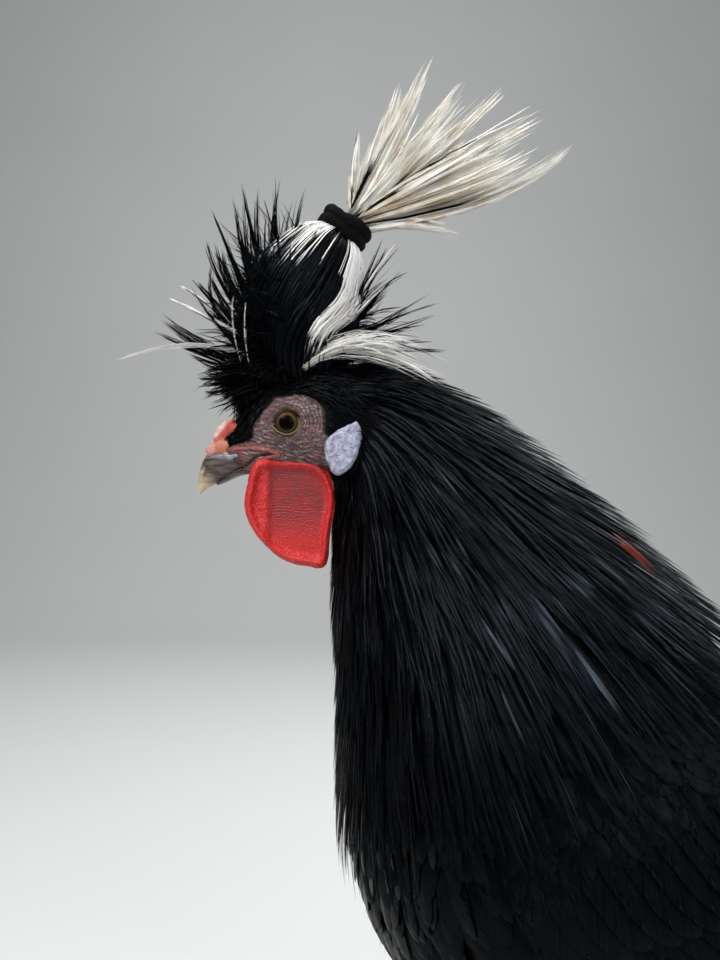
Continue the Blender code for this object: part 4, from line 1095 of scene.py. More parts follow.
def gap_to(places: Array, line: Array) -> Array:
    """How far places lie, in the side view, from a line of straight stretches.

    Args:
        places: Points (x, y, z).
        line: The line's corners (x, z).

    Returns:
        One distance for each place.
    """
    flat, gaps = places[:, [0, 2]], []
    for start, end in itertools.pairwise(line):
        way = end - start
        share = np.clip(((flat - start) @ way) / (way @ way), 0, 1)
        gaps.append(np.linalg.norm(flat - start - share[:, None] * way, axis=1))
    return np.min(gaps, axis=0)


# Down the drumstick, in tenths of a millimetre: middle (x, z), half depth and half width.
THIGH = (
    (1620, 2200, 360, 220),
    (1720, 1800, 340, 210),
    (1840, 1520, 230, 170),
    (1930, 1320, 120, 110),
    (1970, 1230, 78, 72),
)
LEG_OUT = 0.046


def drumstick(side: Side, inside: float = 0.0) -> Tube:
    """The drumstick on one side, or a tube that lies somewhat inside it."""
    y = side.value * LEG_OUT
    return Tube([(x, y, z, deep - inside, wide - inside) for x, z, deep, wide in metres(THIGH)])


@dataclass(frozen=True)
class Skin:
    """The one skin of head, neck, trunk and thighs, with the bare face and its folds."""

    around: int = 160
    covered_from: float = 9.0
    covered_depth: float = 0.0042
    socket_depth: float = 0.006
    fold: float = 0.00048
    mouth: Rows = ((158, 4126), (221, 4160), (269, 4197), (323, 4207), (369, 4201))

    def rings(self) -> Array:
        """The skin's rings from the root of the bill to the root of the tail."""
        station = [np.arange(0.0, 4.8, 0.045), np.arange(4.8, 9.0, 0.15), np.linspace(9.0, BODY.last, 46)]
        steps = np.concatenate(station), np.arange(self.around) * 360 / self.around
        place, angle = np.meshgrid(*steps, indexing="ij")
        depth = self.covered_depth * soft_step(self.covered_from, self.covered_from + 1.2, place)
        return BODY.over(place, angle, -depth * (1 - 0.6 * soft_step(BODY.last - 2, BODY.last, place)))

    def folds(self, places: Array) -> Array:
        """The folds round the eye and over the cheek, as heights from -1 to 1 at places."""
        x, y, z = places.T
        back, up, reach = from_pupil(places)
        side_on = soft_step(0.006, 0.012, np.abs(y)) * (x < 0.062) * (z > 0.408)
        behind = soft_step(-0.004, 0.004, back) * soft_step(-0.0075, -0.0035, up)
        near = soft_step(0.0062, 0.0076, reach) * (1 - soft_step(0.015, 0.0185, reach)) * behind
        waver = lumps(places, 260) * 0.0011
        broken = 0.55 + 0.45 * lumps(places, 900)
        arcs = np.cos(2 * np.pi * (reach + waver) / 0.0015)
        cheek = np.cos(2 * np.pi * (z + 0.3 * back + waver) / 0.00165) * soft_step(0.0, -0.0045, up)
        return (1.3 * arcs * near + cheek * (1 - near) * (reach > 0.0066)) * side_on * broken

    def face_height(self, places: Array) -> Array:
        """How far each vertex of the skin is moved along its normal."""
        _, up, reach = from_pupil(places)
        side_on = soft_step(0.006, 0.012, np.abs(places[:, 1]))
        brow = 0.0011 * hump(reach - 0.0088, 0.0017) * soft_step(-0.002, 0.004, up) * side_on
        slit = 0.0009 * hump(gap_to(places, metres(self.mouth)), 0.0006) * (places[:, 0] < 0.045)
        return self.fold * self.folds(places) + brow - slit

    def sink_sockets(self, places: Array) -> Array:
        """The skin's places with the sockets drawn inward behind the eyes and the chin lifted clear."""
        x, y, z = places.T
        back, up, reach = from_pupil(places)
        open_share = reach / lid_reach(np.arctan2(up, back))
        y = y - np.sign(y) * self.socket_depth * (1 - soft_step(0.95, 1.08, open_share))
        chin = 0.4127 - 1.2 * np.maximum(x - 0.034, 0)
        return xyz(x, y, np.where(x < 0.04, np.maximum(z, chin), z))

    def masks(self, piece: Piece) -> None:
        """Keeps where the skin is bare, yellowish, flushed or darkened by painted shade, and how it is folded."""
        places = coordinates(piece)
        x, y, z = places.T
        reach = from_pupil(places)[2]
        heights = (0.4225, 0.4244, 0.4278, 0.4338, 0.4379, 0.4433)
        front = np.interp(z, heights, (0.01, 0.0165, 0.0258, 0.0268, 0.03, 0.0352))
        brow = np.interp(x, (0.0356, 0.0452, 0.0523, 0.0553), (0.444, 0.4458, 0.4432, 0.44))
        back = np.interp(z, (0.408, 0.414, 0.419, 0.429, 0.44), (0.059, 0.063, 0.065, 0.0562, 0.0552))
        ragged = lumps(places, 700) * 0.0006
        bare = soft_step(-0.001, 0.0008, x - front + ragged)
        bare *= soft_step(-0.001, 0.0008, brow - z + ragged)
        bare *= soft_step(-0.0012, 0.001, back - x + ragged) * soft_step(0.395, 0.402, z)
        flush = hump(gap_to(places, GAPE), 0.0013) * 0.6 + 0.3 * (1 - soft_step(0.018, 0.026, x))
        # Painted shade: darker along the mouth's slit, at the join of bill and skin and on the throat below the
        # earlobe.
        mouth = hump(gap_to(places, metres(self.mouth)), 0.0007) * (x < 0.045)
        bill_root = soft_step(0.0018, -0.0022, x - 0.0205 - 0.35 * (0.42 - z) + 2 * ragged)
        throat = soft_step(0.4175, 0.415, z) * soft_step(0.05, 0.058, x)
        dark = np.max([mouth, 0.75 * bill_root * soft_step(0.424, 0.42, z), 0.75 * throat], axis=0)
        ring = (1 - soft_step(0.0062, 0.0074, reach)) * (np.abs(y) > 0.008) * 0.35
        store(piece, bare=bare, ring=ring, flush=np.clip(flush, 0, 1), dark=dark, fold=self.folds(places))

    def build(self, material: Material) -> Piece:
        """Makes the skin."""
        piece = wrap_grid("body", self.rings())
        carve(piece, self.face_height)
        set_coordinates(piece, self.sink_sockets(coordinates(piece)))
        thighs = [drumstick(side, 0.003).wrap("thigh", 20, 32) for side in Side]
        for thigh in thighs:
            apply_modifier(piece, "BOOLEAN", operation="UNION", solver="MANIFOLD", object=thigh)
            bpy.data.objects.remove(thigh)
        choose(piece)
        bpy.ops.object.shade_smooth()
        skin = named("skin")
        self.masks(skin)
        nodes = ("head", "neck", "torso", "thigh_left", "thigh_right")
        return finish_piece(skin, "face_skin", material, nodes)


def cord(name: str, middle: Array, outward: Array, aside: Array, radii: Array, sides: int) -> Piece:
    """A closed ring of cord.

    Args:
        name: The piece's name.
        middle: Points of its middle line.
        outward: At each point, one way across it.
        aside: The other way across it, at each point or everywhere.
        radii: Its radius at each point.
        sides: Points round it.

    Returns:
        The new piece.
    """
    roll = circle(sides)[None, :, None]
    ring = outward[:, None] * np.cos(roll) + aside[..., None, :] * np.sin(roll)
    return wrap_grid(name, middle[:, None] + ring * radii[:, None, None], ring_closed=True)


@dataclass(frozen=True)
class Eye:
    """One eyeball with its iris and the lids round it.

    Each rim of the lids holds how far outside the opening it runs, its radius and its height over the ball.
    """

    side: Side
    radius: float = 0.008
    depth: float = 0.0103
    iris: float = 0.0048
    rims: Rows = ((0.0002, 0.00042, 0.0003), (0.0012, 0.00058, 0.0001), (0.0024, 0.0006, -0.0006))

    @property
    def centre(self) -> Array:
        """The middle of the eyeball."""
        return np.array([PUPIL[0], self.side.value * self.depth, PUPIL[1]])

    def eyeball(self, material: Material) -> Piece:
        """The ball, a little fuller over the iris."""
        choose()
        size = {"radius": self.radius, "location": (0, 0, 0)}
        bpy.ops.mesh.primitive_uv_sphere_add(segments=48, ring_count=32, **size)
        ball = named("eyeball_" + self.side.word)
        local = coordinates(ball) + SHIFT
        forward = local[:, 1] * self.side.value / self.radius
        local *= (1 + 0.045 * soft_step(0.7, 0.95, forward))[:, None]
        set_coordinates(ball, local + self.centre)
        bpy.ops.object.shade_smooth()
        back, _, up = local.T
        ring = np.hypot(back, up) / self.iris + 2.0 * (forward < 0)
        store(ball, ring=ring, turn=np.arctan2(up, back), height=(up + 0.5 * back) / self.iris)
        return finish_piece(ball, "eye", material, ("eye_" + self.side.word,))

    def rim(self, grow: float, thick: float, lift: float) -> Piece:
        """One rolled rim of the lids, which lies round the eyeball."""
        turn = circle(72)
        reach = lid_reach(turn)
        reach = (np.roll(reach, 1) + reach * 2 + np.roll(reach, -1)) / 4 + grow
        flat = xyz(reach * np.cos(turn), 0.0, reach * np.sin(turn))
        out = np.sqrt(np.maximum((self.radius + lift) ** 2 - (flat**2).sum(axis=1), 1e-8))
        local = flat + xyz(0.0, self.side.value * out, 0.0)
        size = thick * (1 + 0.1 * np.sin(turn * 9))
        return cord("lid", self.centre + local, unit(local), unit(flat), size, 12)

    def lids(self, material: Material) -> Piece:
        """The rolled rims of the lids and the fold of skin outside them."""
        made = []
        for index, row in enumerate(self.rims):
            piece = self.rim(*row)
            places = coordinates(piece)
            back, up, _ = from_pupil(places)
            edge = index == 0
            fold = lumps(places, 700) * 0.6 + (index == 1) * 0.9 * soft_step(0.0, 0.004, back)
            # The upper lids darker: partly the lid rim's own dark colour and partly painted shade.
            dark = soft_step(-0.0005, 0.0025, up) * (0.9 if edge else 0.15)
            yellow = soft_step(0.0015, -0.0025, up) * edge
            store(piece, bare=1.0, ring=yellow, flush=0.0, dark=dark, fold=fold)
            made.append(piece)
        return finish_piece(join_pieces("lids_" + self.side.word, made), "face_skin", material)


def outline_curve(points: Rows, count: int) -> Array:
    """Many points (x, z) on a closed smooth curve through corners in tenths of a millimetre."""
    place = np.arange(count) * len(points) / count
    first = place.astype(int)
    return spline(metres(points), first, (place - first)[:, None], lambda row: row % len(points))


def drawn_in(curve: Array, middle: Pair, share: float) -> tuple[Array, Array]:
    """The x and z of a closed curve that is drawn towards a point."""
    return tuple(middle[k] + (curve[:, k] - middle[k]) * share for k in (0, 1))


@dataclass(frozen=True)
class Wattle:
    """One long wattle: a dull, finely lined dish with a rolled and pebbled rim."""

    side: Side
    outline: Rows = (
        (272, 4182), (228, 4060), (225, 3960), (280, 3855), (380, 3765), (480, 3735), (562, 3738),
        (582, 3870), (604, 4010), (585, 4110), (530, 4175), (400, 4192),
    )
    middle: Pair = (0.0425, 0.3965)
    rim_out: float = 0.0118
    floor_out: float = 0.0094
    inner: float = 0.0064
    ridge_x: float = 0.0308

    def outer_face(self, share: float, x: Array, z: Array) -> Array:
        """How far the outer face stands from the bird's middle plane.

        Args:
            share: The share of the way from the middle to the outline.
            x: Places along the bill's direction.
            z: Heights.

        Returns:
            Distances in metres.
        """
        rim = hump(share - 0.9, 0.085)
        dish = self.floor_out + (self.rim_out - self.floor_out) * rim
        ridge = 0.0019 * hump(x - self.ridge_x - 0.02 * (z - 0.4), 0.0021) * soft_step(0.378, 0.386, z)
        front = 0.0016 * soft_step(self.ridge_x, self.ridge_x - 0.004, x)
        waves = np.sin(2 * np.pi * z / 0.00125 + 3 * np.sin(x * 300))
        lines = 0.00013 * waves * (1 - rim) * soft_step(0.03, 0.034, x)
        return dish + ridge + front + lines + 0.0007 * soft_step(0.398, 0.38, z)

    def rings(self, curve: Array) -> Array:
        """Rings from the middle of the outer face over the rim to the middle of the inner face."""
        forward = -0.0018 if self.side is Side.RIGHT else 0.0
        outer = [(share, None) for share in (*np.linspace(0.03, 0.8, 34), *np.linspace(0.82, 0.985, 12))]
        rim = [(1.0, 0.0105), (1.006, 0.0094), (1.0, 0.0082), (0.975, 0.0071)]
        inner = [(share, self.inner) for share in (0.92, 0.7, 0.4, 0.1)]
        rings = []
        for share, depth in outer + rim + inner:
            x, z = drawn_in(curve, self.middle, share)
            y = self.outer_face(share, x, z) if depth is None else depth
            rings.append(xyz(x + forward, self.side.value * y, z))
        return np.array(rings)

    def build(self, material: Material) -> Piece:
        """Makes the wattle."""
        curve = outline_curve(self.outline, 150)
        piece = wrap_grid("wattle_skin_" + self.side.word, self.rings(curve))
        places = coordinates(piece)
        x, y, z = places.T
        gap = np.sqrt(((places[:, None, [0, 2]] - curve[None]) ** 2).sum(axis=2)).min(axis=1)
        rim = np.maximum(1 - soft_step(0.003, 0.0055, gap), soft_step(0.0335, 0.0315, x))
        rim = np.maximum(rim, 0.35 * soft_step(0.392, 0.38, z))
        grains = (pebbles(places, 1150) - 0.5) * 0.00034 * rim + lumps(places, 420) * 0.00022 * rim
        carve(piece, lambda _: grains * (np.abs(y) > 0.008))
        store(piece, rim=rim, dish=(1 - rim) * soft_step(0.379, 0.4, z), worn=0.0)
        return finish_piece(piece, "red_flesh", material, ("wattle_" + self.side.word,))


@dataclass(frozen=True)
class EarLobe:
    """One flat, leaf-shaped earlobe.

    shares and depths run from the middle of its outer face over its edge to the inner face: shares of the way to
    the outline, and distances from the bird's middle plane.
    """

    side: Side
    outline: Rows = (
        (700, 4345), (650, 4322), (590, 4288), (562, 4230), (580, 4160), (620, 4118), (672, 4155),
        (706, 4220), (718, 4290),
    )
    middle: Pair = (0.0645, 0.4235)
    shares: Sequence[float] = (0.05, 0.45, 0.8, 0.93, 1.0, 0.98, 0.9, 0.3)
    depths: Sequence[float] = (0.0208, 0.0212, 0.0212, 0.0205, 0.0192, 0.0176, 0.016, 0.0135)

    def build(self, material: Material) -> Piece:
        """Makes the lobe."""
        curve, rings = outline_curve(self.outline, 80), []
        for place in np.linspace(0, 7, 40):
            share, depth = (np.interp(place, range(8), known) for known in (self.shares, self.depths))
            x, z = drawn_in(curve, self.middle, share)
            rings.append(xyz(x, self.side.value * depth, z))
        piece = wrap_grid("earlobe_skin_" + self.side.word, np.array(rings))
        smoother(piece)
        carve(piece, lambda at: lumps(at, 330, 4.0) * 0.00045 + (pebbles(at, 1500) - 0.5) * 0.00018)
        return finish_piece(piece, "white_lobe", material, ("earlobe_" + self.side.word,))


@dataclass(frozen=True)
class Bill:
    """The two halves of the bill and the fleshy corners of the mouth, in tenths of a millimetre.

    Each row of a half holds its lower point (x, z), its upper point (x, z) and its half width. Cere and tongue
    are rows of tubes.
    """

    upper: Rows = (
        (225, 4150, 95, 4272, 76), (195, 4136, 72, 4252, 71), (165, 4122, 50, 4230, 64),
        (130, 4108, 30, 4198, 56), (98, 4093, 13, 4158, 45), (68, 4078, 4, 4122, 34), (42, 4062, 0, 4090, 22),
        (22, 4048, 2, 4060, 11), (13, 4036, 8, 4040, 4),
    )
    lower: Rows = (
        (270, 4128, 250, 4168, 68), (225, 4127, 205, 4153, 60), (180, 4116, 168, 4138, 50),
        (140, 4096, 132, 4119, 40), (105, 4081, 100, 4101, 28), (85, 4076, 83, 4087, 13),
    )
    edge: Rows = ((225, 4150), (165, 4122), (130, 4108), (98, 4093))
    cere: Rows = (
        (66, 34, 4210, 8, 10),
        (105, 56, 4202, 12, 12),
        (150, 69, 4198, 12, 12),
        (200, 81, 4210, 7, 8),
    )
    tongue: Rows = ((262, 0, 4172, 16, 56), (180, 0, 4138, 14, 46), (110, 0, 4102, 8, 26))

    def half(self, name: str, rows: Rows, node: str, material: Material) -> None:
        """Makes one half of the bill, a little peaked above."""
        turn = circle(28)
        share, rings = (1 + np.cos(turn)) / 2, []
        for low_x, low_z, high_x, high_z, half in metres(rows):
            narrow = half * (1 - 0.22 * share**3)
            x, z = low_x + (high_x - low_x) * share, low_z + (high_z - low_z) * share
            rings.append(xyz(x, -narrow * np.sin(turn), z))
        piece = wrap_grid(name, np.array(rings))
        smoother(piece, 2)
        carve(piece, lambda places: lumps(places * np.array([0.5, 1, 1]), 420) * 0.0001)
        x, _, z = coordinates(piece).T
        upper = node == "bill_upper"
        ridge = soft_step(0.0026, 0.0006, x - 0.0004 - 16 * (z - 0.404) ** 2) * soft_step(0.418, 0.412, z)
        worn = np.maximum(soft_step(0.0125, 0.0015, np.hypot(x - 0.0013, z - 0.4036)), 0.7 * ridge)
        rim = 0.35 * hump(gap_to(coordinates(piece), metres(self.edge)), 0.0005)
        root = soft_step(0.4185, 0.423, z + 0.12 * x) * upper
        store(piece, tip=np.maximum(worn, rim) * upper + 0.12, root=root)
        finish_piece(piece, "bill_horn", material, (node,))

    def ridge(self, side: Side, material: Material) -> None:
        """Makes the smooth pale ridge between the horn and the nostril."""
        rows = metres(self.cere) * (1, side.value, 1, 1, 1)
        piece = Tube(rows).wrap("cere_" + side.word, 36, 18)
        carve(piece, lambda places: lumps(places, 450) * 0.00035)
        store(piece, tip=0.0, root=0.62 + 0.35 * lumps(coordinates(piece), 500, 2.0))
        finish_piece(piece, "bill_horn", material)

    def gape(self, side: Side, material: Material) -> None:
        """Makes the fleshy fold that runs round the corner of the mouth."""
        grid = np.meshgrid(np.arange(0.0, 5.0, 0.05), np.arange(30.0, 150.0, 1.5), indexing="ij")
        known, rows = BODY.point(grid[0].ravel(), grid[1].ravel()), []
        for index, (x, z) in enumerate(GAPE):
            nearest = known[np.argmin(np.hypot(known[:, 0] - x, known[:, 2] - z))]
            thick = 0.0009 * (0.45 + 0.55 * math.sin(math.pi * (index + 0.5) / len(GAPE)))
            rows.append((x, side.value * (abs(nearest[1]) + 0.0001), z, thick, thick))
        piece = Tube(rows).wrap("gape_" + side.word, 70, 14)
        carve(piece, lambda places: lumps(places, 600) * 0.00028)
        store(piece, bare=1.0, ring=0.0, flush=0.55, dark=0.0, fold=lumps(coordinates(piece), 500, 3.0))
        finish_piece(piece, "face_skin", material)

    def build(self, horn: Material, skin: Material) -> None:
        """Makes the bill, the floor of the mouth, in the dark horn colour as painted shade, and its corners."""
        self.half("bill_top", self.upper, "bill_upper", horn)
        self.half("bill_under", self.lower, "bill_lower", horn)
        # Painted shade: the tongue takes the dark horn colour, to fill the gap between the halves with shadow.
        tongue = Tube(metres(self.tongue)).wrap("tongue", 20, 20)
        store(tongue, tip=0.0, root=0.0)
        finish_piece(tongue, "bill_horn", horn)
        for side in Side:
            self.gape(side, skin)
            self.ridge(side, horn)


@dataclass(frozen=True)
class Comb:
    """The small horned comb and, before it, the bulbs over the nostrils.

    Each ball is a middle (x, z), a distance from the bird's middle plane and three radii.
    """

    balls: Rows = (
        (130, 4262, 0, 56, 58, 44), (110, 4284, 42, 34, 22, 36), (124, 4306, 48, 40, 18, 34),
        (146, 4328, 53, 36, 16, 30), (158, 4350, 57, 14, 12, 17), (176, 4328, 55, 20, 14, 18),
        (128, 4240, 54, 50, 18, 36), (70, 4230, 32, 29, 30, 28),
    )

    def build(self, material: Material) -> Piece:
        """Makes the comb from balls melted together."""
        made = []
        for (x, z, y, *radii), side in itertools.product(metres(self.balls), Side):
            choose()
            place = tuple(np.array([x, side.value * y, z]) + SHIFT)
            bpy.ops.mesh.primitive_ico_sphere_add(subdivisions=4, radius=1.0, location=place, scale=radii)
            bpy.ops.object.transform_apply(location=True, rotation=True, scale=True)
            made.append(bpy.context.object)
        piece = join_pieces("comb_flesh", made)
        apply_modifier(piece, "REMESH", mode="VOXEL", voxel_size=0.0003)
        apply_modifier(piece, "SMOOTH", factor=0.6, iterations=8)
        carve(piece, lambda at: lumps(at, 420) * 0.0006 + (pebbles(at, 1900) - 0.5) * 0.00016)
        bpy.ops.object.shade_smooth()
        x, _, z = coordinates(piece).T
        # Painted highlight: whitish on the comb's front edge and over the nostril bulb.
        front = soft_step(0.0024, -0.0002, x - 0.0085 - 0.87 * (z - 0.429))
        patchy = np.clip(front * (0.75 + 0.9 * lumps(coordinates(piece), 380, 9.0)), 0, 0.95)
        over_nostril = soft_step(0.0098, 0.008, x) * soft_step(0.4275, 0.4255, z)
        worn = patchy * soft_step(0.4268, 0.429, z) + 0.06 + 0.42 * over_nostril
        tan = 0.25 + 0.6 * soft_step(0.429, 0.4262, z) * soft_step(0.008, 0.0104, x)
        store(piece, rim=0.35, dish=0.0, worn=worn, tan=tan)
        return finish_piece(piece, "red_flesh", material, ("comb",))


TIE_CENTRE = np.array([0.064, 0.0, 0.52])
TIE_AXIS = np.array([math.cos(math.radians(57)), 0.0, math.sin(math.radians(57))])
SIDEWAYS = np.array([0.0, 1.0, 0.0])


def tie_point(distance: float) -> Array:
    """A point on the axis of the tie, this far above its middle."""
    return TIE_CENTRE + TIE_AXIS * distance


def bundle() -> Tube:
    """The tied crest from the skull to the tie."""
    low = ((480, 4420, 185, 125), (450, 4590, 225, 180), (440, 4770, 240, 195), (485, 4955, 210, 180))
    high = ((-115, 138, 125), (-58, 95, 92), (-10, 60, 60))
    rows = [(x, 0.0, z, depth, width) for x, z, depth, width in metres(low)]
    return Tube([*rows, *((*tie_point(distance), depth, width) for distance, depth, width in metres(high))])


@dataclass(frozen=True)
class Tie:
    """The elastic hair tie, wound round the crest in two turns and a crossing one."""

    radius: float = 0.0092
    cord: float = 0.0028
    turns: tuple[float, ...] = (-0.0023, 0.0021, 0.0)

    def build(self, material: Material) -> Piece:
        """Makes the tie."""
        made, turn, first = [], circle(96), np.cross(SIDEWAYS, TIE_AXIS)
        outward = first * np.cos(turn)[:, None] + SIDEWAYS * np.sin(turn)[:, None]
        for index, distance in enumerate(self.turns):
            sway, waves, base = (0.0024, 1, 0.9) if index == 2 else (0.0007, 2, 1.0)
            aside = sway * np.sin(turn * waves + index * 2.1)
            thick = self.cord * (base + 0.09 * np.sin(turn * 5 + index) + 0.05 * np.sin(turn * 11 - index))
            middle = tie_point(distance) + outward * self.radius + TIE_AXIS * aside[:, None]
            piece = cord("turn", middle, outward, TIE_AXIS, thick, 20)
            flat = coordinates(piece) - tie_point(distance)
            height = flat @ TIE_AXIS
            off = np.linalg.norm(flat - np.outer(height, TIE_AXIS), axis=1) - self.radius
            store(piece, along=np.arctan2(flat @ SIDEWAYS, flat @ first), around=np.arctan2(height, off))
            made.append(piece)
        return finish_piece(join_pieces("hair_tie", made), "black_elastic", material, ("crest_tie",))


@dataclass(frozen=True)
class Fan:
    """Feathers that spread from one place in the crest.

    reach holds pairs: degrees above the horizontal, and how many millimetres the feathers that point there go.
    Most of them end at the share that fill gives, and a few stand out beyond it.
    """

    origin: Pair
    toward: int
    reach: Rows
    yaw: float
    count: int
    fill: float = 0.66
    shortest: float = 0.5

    def grow(self, plumage: Plumage) -> None:
        """Adds the fan's feathers."""
        rng, n = plumage.rng, self.count
        climbs, reaches = np.array(self.reach).T
        climb = rng.uniform(climbs[0], climbs[-1], n)
        yaw = np.clip(rng.normal(0, self.yaw * 0.55, n), -self.yaw, self.yaw)
        few = rng.random(n) < 0.1
        far, near = rng.uniform(self.fill, 0.95, n), self.fill * rng.uniform(self.shortest, 1.08, n)
        reach = np.interp(climb, climbs, reaches / 1000) * np.where(few, far, near)
        ahead = self.heading(climb, yaw)
        origin = xyz(self.origin[0], 0.0, self.origin[1])
        start = origin + ahead * 0.006 + xyz(0.0, 0.011 * np.sin(np.radians(yaw)), 0.012 * climb / 90)
        start += rng.normal(0, 0.0022, (n, 3))
        bow = self.heading(climb + rng.normal(15, 6, n), yaw + rng.normal(0, 5, n))
        tip = origin + ahead * reach[:, None] + rng.normal(0, 0.0015, (n, 3))
        paths = bezier(start, start + bow * (reach * 0.5)[:, None], tip, WISP.steps)
        normals = unit(rng.normal(0, 1, (n, 1, 3)))
        roots = skin_unwrap(3.3, np.degrees(np.arctan2(-start[:, 1], 0.02)))
        plumage.add(paths, normals, rng.uniform(0.0003, 0.0008, n), roots, WISP)

    def heading(self, climb: Array, yaw: Array) -> Array:
        """Directions this far above the horizontal and turned this far aside."""
        up, turn = np.radians(climb), np.radians(yaw)
        return xyz(self.toward * np.cos(up) * np.cos(turn), np.cos(up) * np.sin(turn), np.sin(up))


@dataclass(frozen=True)
class Lock:
    """Feathers that run together along one curve and part near its tip, in tenths of a millimetre.

    row holds the curve's start, bend and end, each (x, y, z). If the y of bend and end are left out, they are 2.8
    and 4 times the y of the start. spreads are the lock's half thickness at its root, its middle and its tip.
    """

    row: Sequence[int]
    count: int
    spreads: Sequence[int]
    half_width: float = 0.0005
    white: float = 0.0
    shortest: float = 0.62
    dark_root: float = 0.0
    shape: FeatherShape = STRAND

    def points(self) -> Array:
        """The curve's start, bend and end."""
        row = self.row
        if len(row) == 7:
            row = (*row[:4], 2.8 * row[1], *row[4:6], 4 * row[1], row[6])
        return metres(row).reshape(3, 3)

    def grow(self, plumage: Plumage, mirrored: bool = False) -> None:
        """Adds the lock's feathers.

        Args:
            plumage: The lot that they join.
            mirrored: Whether the lock stands on the other side, a little differently.
        """
        rng, n, shares = plumage.rng, self.count, self.shape.steps
        places = rng.uniform(self.shortest, 1.0, n)[:, None] * shares
        start, bend, end = self.points()
        if mirrored:
            bend, end = (point * (1.0, -1.0, 1.0) + rng.normal(0, 0.004, 3) for point in (bend, end))
        offset = rng.normal(0, 0.55, (n, 1, 3)) * (1.0, 1.15, 1.0)
        curl = rng.normal(0, 0.35, (n, 1, 3)) * (shares**3)[:, None]
        spread = np.interp(places, (0.0, 0.5, 1.0), metres(self.spreads))[..., None]
        paths = bezier(start, bend, end, places) + (offset + curl) * spread
        normals = unit(rng.normal(0, 0.8, (n, 3)) + (0, -0.8, 0.4))[:, None]
        white = (rng.random(n) < self.white)[:, None] * np.ones(len(shares))
        white[rng.random(n) < self.dark_root] *= soft_step(0.35, 0.55, shares)
        roots = skin_unwrap(3.5, start[1] * 3000 + rng.uniform(-6, 6, n))
        plumage.add(paths, normals, self.half_width * rng.uniform(0.7, 1.25, n), roots, self.shape, white)


FRONT_SPIKES = (
    (400, -150, 4680, 300, -190, 4900, 290, -150, 5190), (380, -140, 4660, 250, -180, 4860, 220, -150, 5110),
    (430, -160, 4690, 360, -200, 4930, 360, -160, 5250), (350, -130, 4640, 200, -170, 4800, 150, -150, 5020),
    (300, -110, 4620, 160, -150, 4760, 80, -140, 4950), (460, -165, 4700, 410, -215, 4900, 420, -180, 5130),
    (284, -25, 4686, 118, 4915, 85, 5137), (262, 10, 4670, 71, 4894, 24, 5065),
    (291, 25, 4717, 139, 4992, 98, 5234), (309, -15, 4732, 191, 5051, 211, 5338),
    (321, 35, 4763, 197, 5044, 209, 5292), (361, -10, 4776, 285, 5076, 377, 5467),
    (376, 20, 4782, 301, 5056, 401, 5349), (372, -35, 4750, 268, 4993, 324, 5251),
    (233, -30, 4620, 61, 4783, -8, 4924), (231, -15, 4601, 40, 4684, -103, 4779),
    (228, 5, 4591, -37, 4671, -210, 4760), (224, -30, 4568, 48, 4578, -25, 4641),
    (223, -20, 4535, 73, 4539, 13, 4536), (219, 10, 4517, 71, 4488, 15, 4489),
    (246, 35, 4674, 44, 4865, -27, 4896), (276, 40, 4719, 105, 5048, 42, 5152),
    (341, 10, 4758, 234, 5061, 259, 5401), (401, 30, 4806, 334, 5130, 425, 5412),
)
REAR_SPIKES = (
    (579, -15, 4666, 675, 4878, 878, 5149), (601, -20, 4657, 753, 4789, 1069, 4861),
    (589, -30, 4655, 689, 4805, 849, 4915), (600, 15, 4671, 732, 4853, 941, 5070),
    (613, 15, 4654, 776, 4764, 1026, 4785), (604, 25, 4673, 710, 4903, 836, 5153),
    (614, -10, 4641, 797, 4708, 1056, 4697),
)


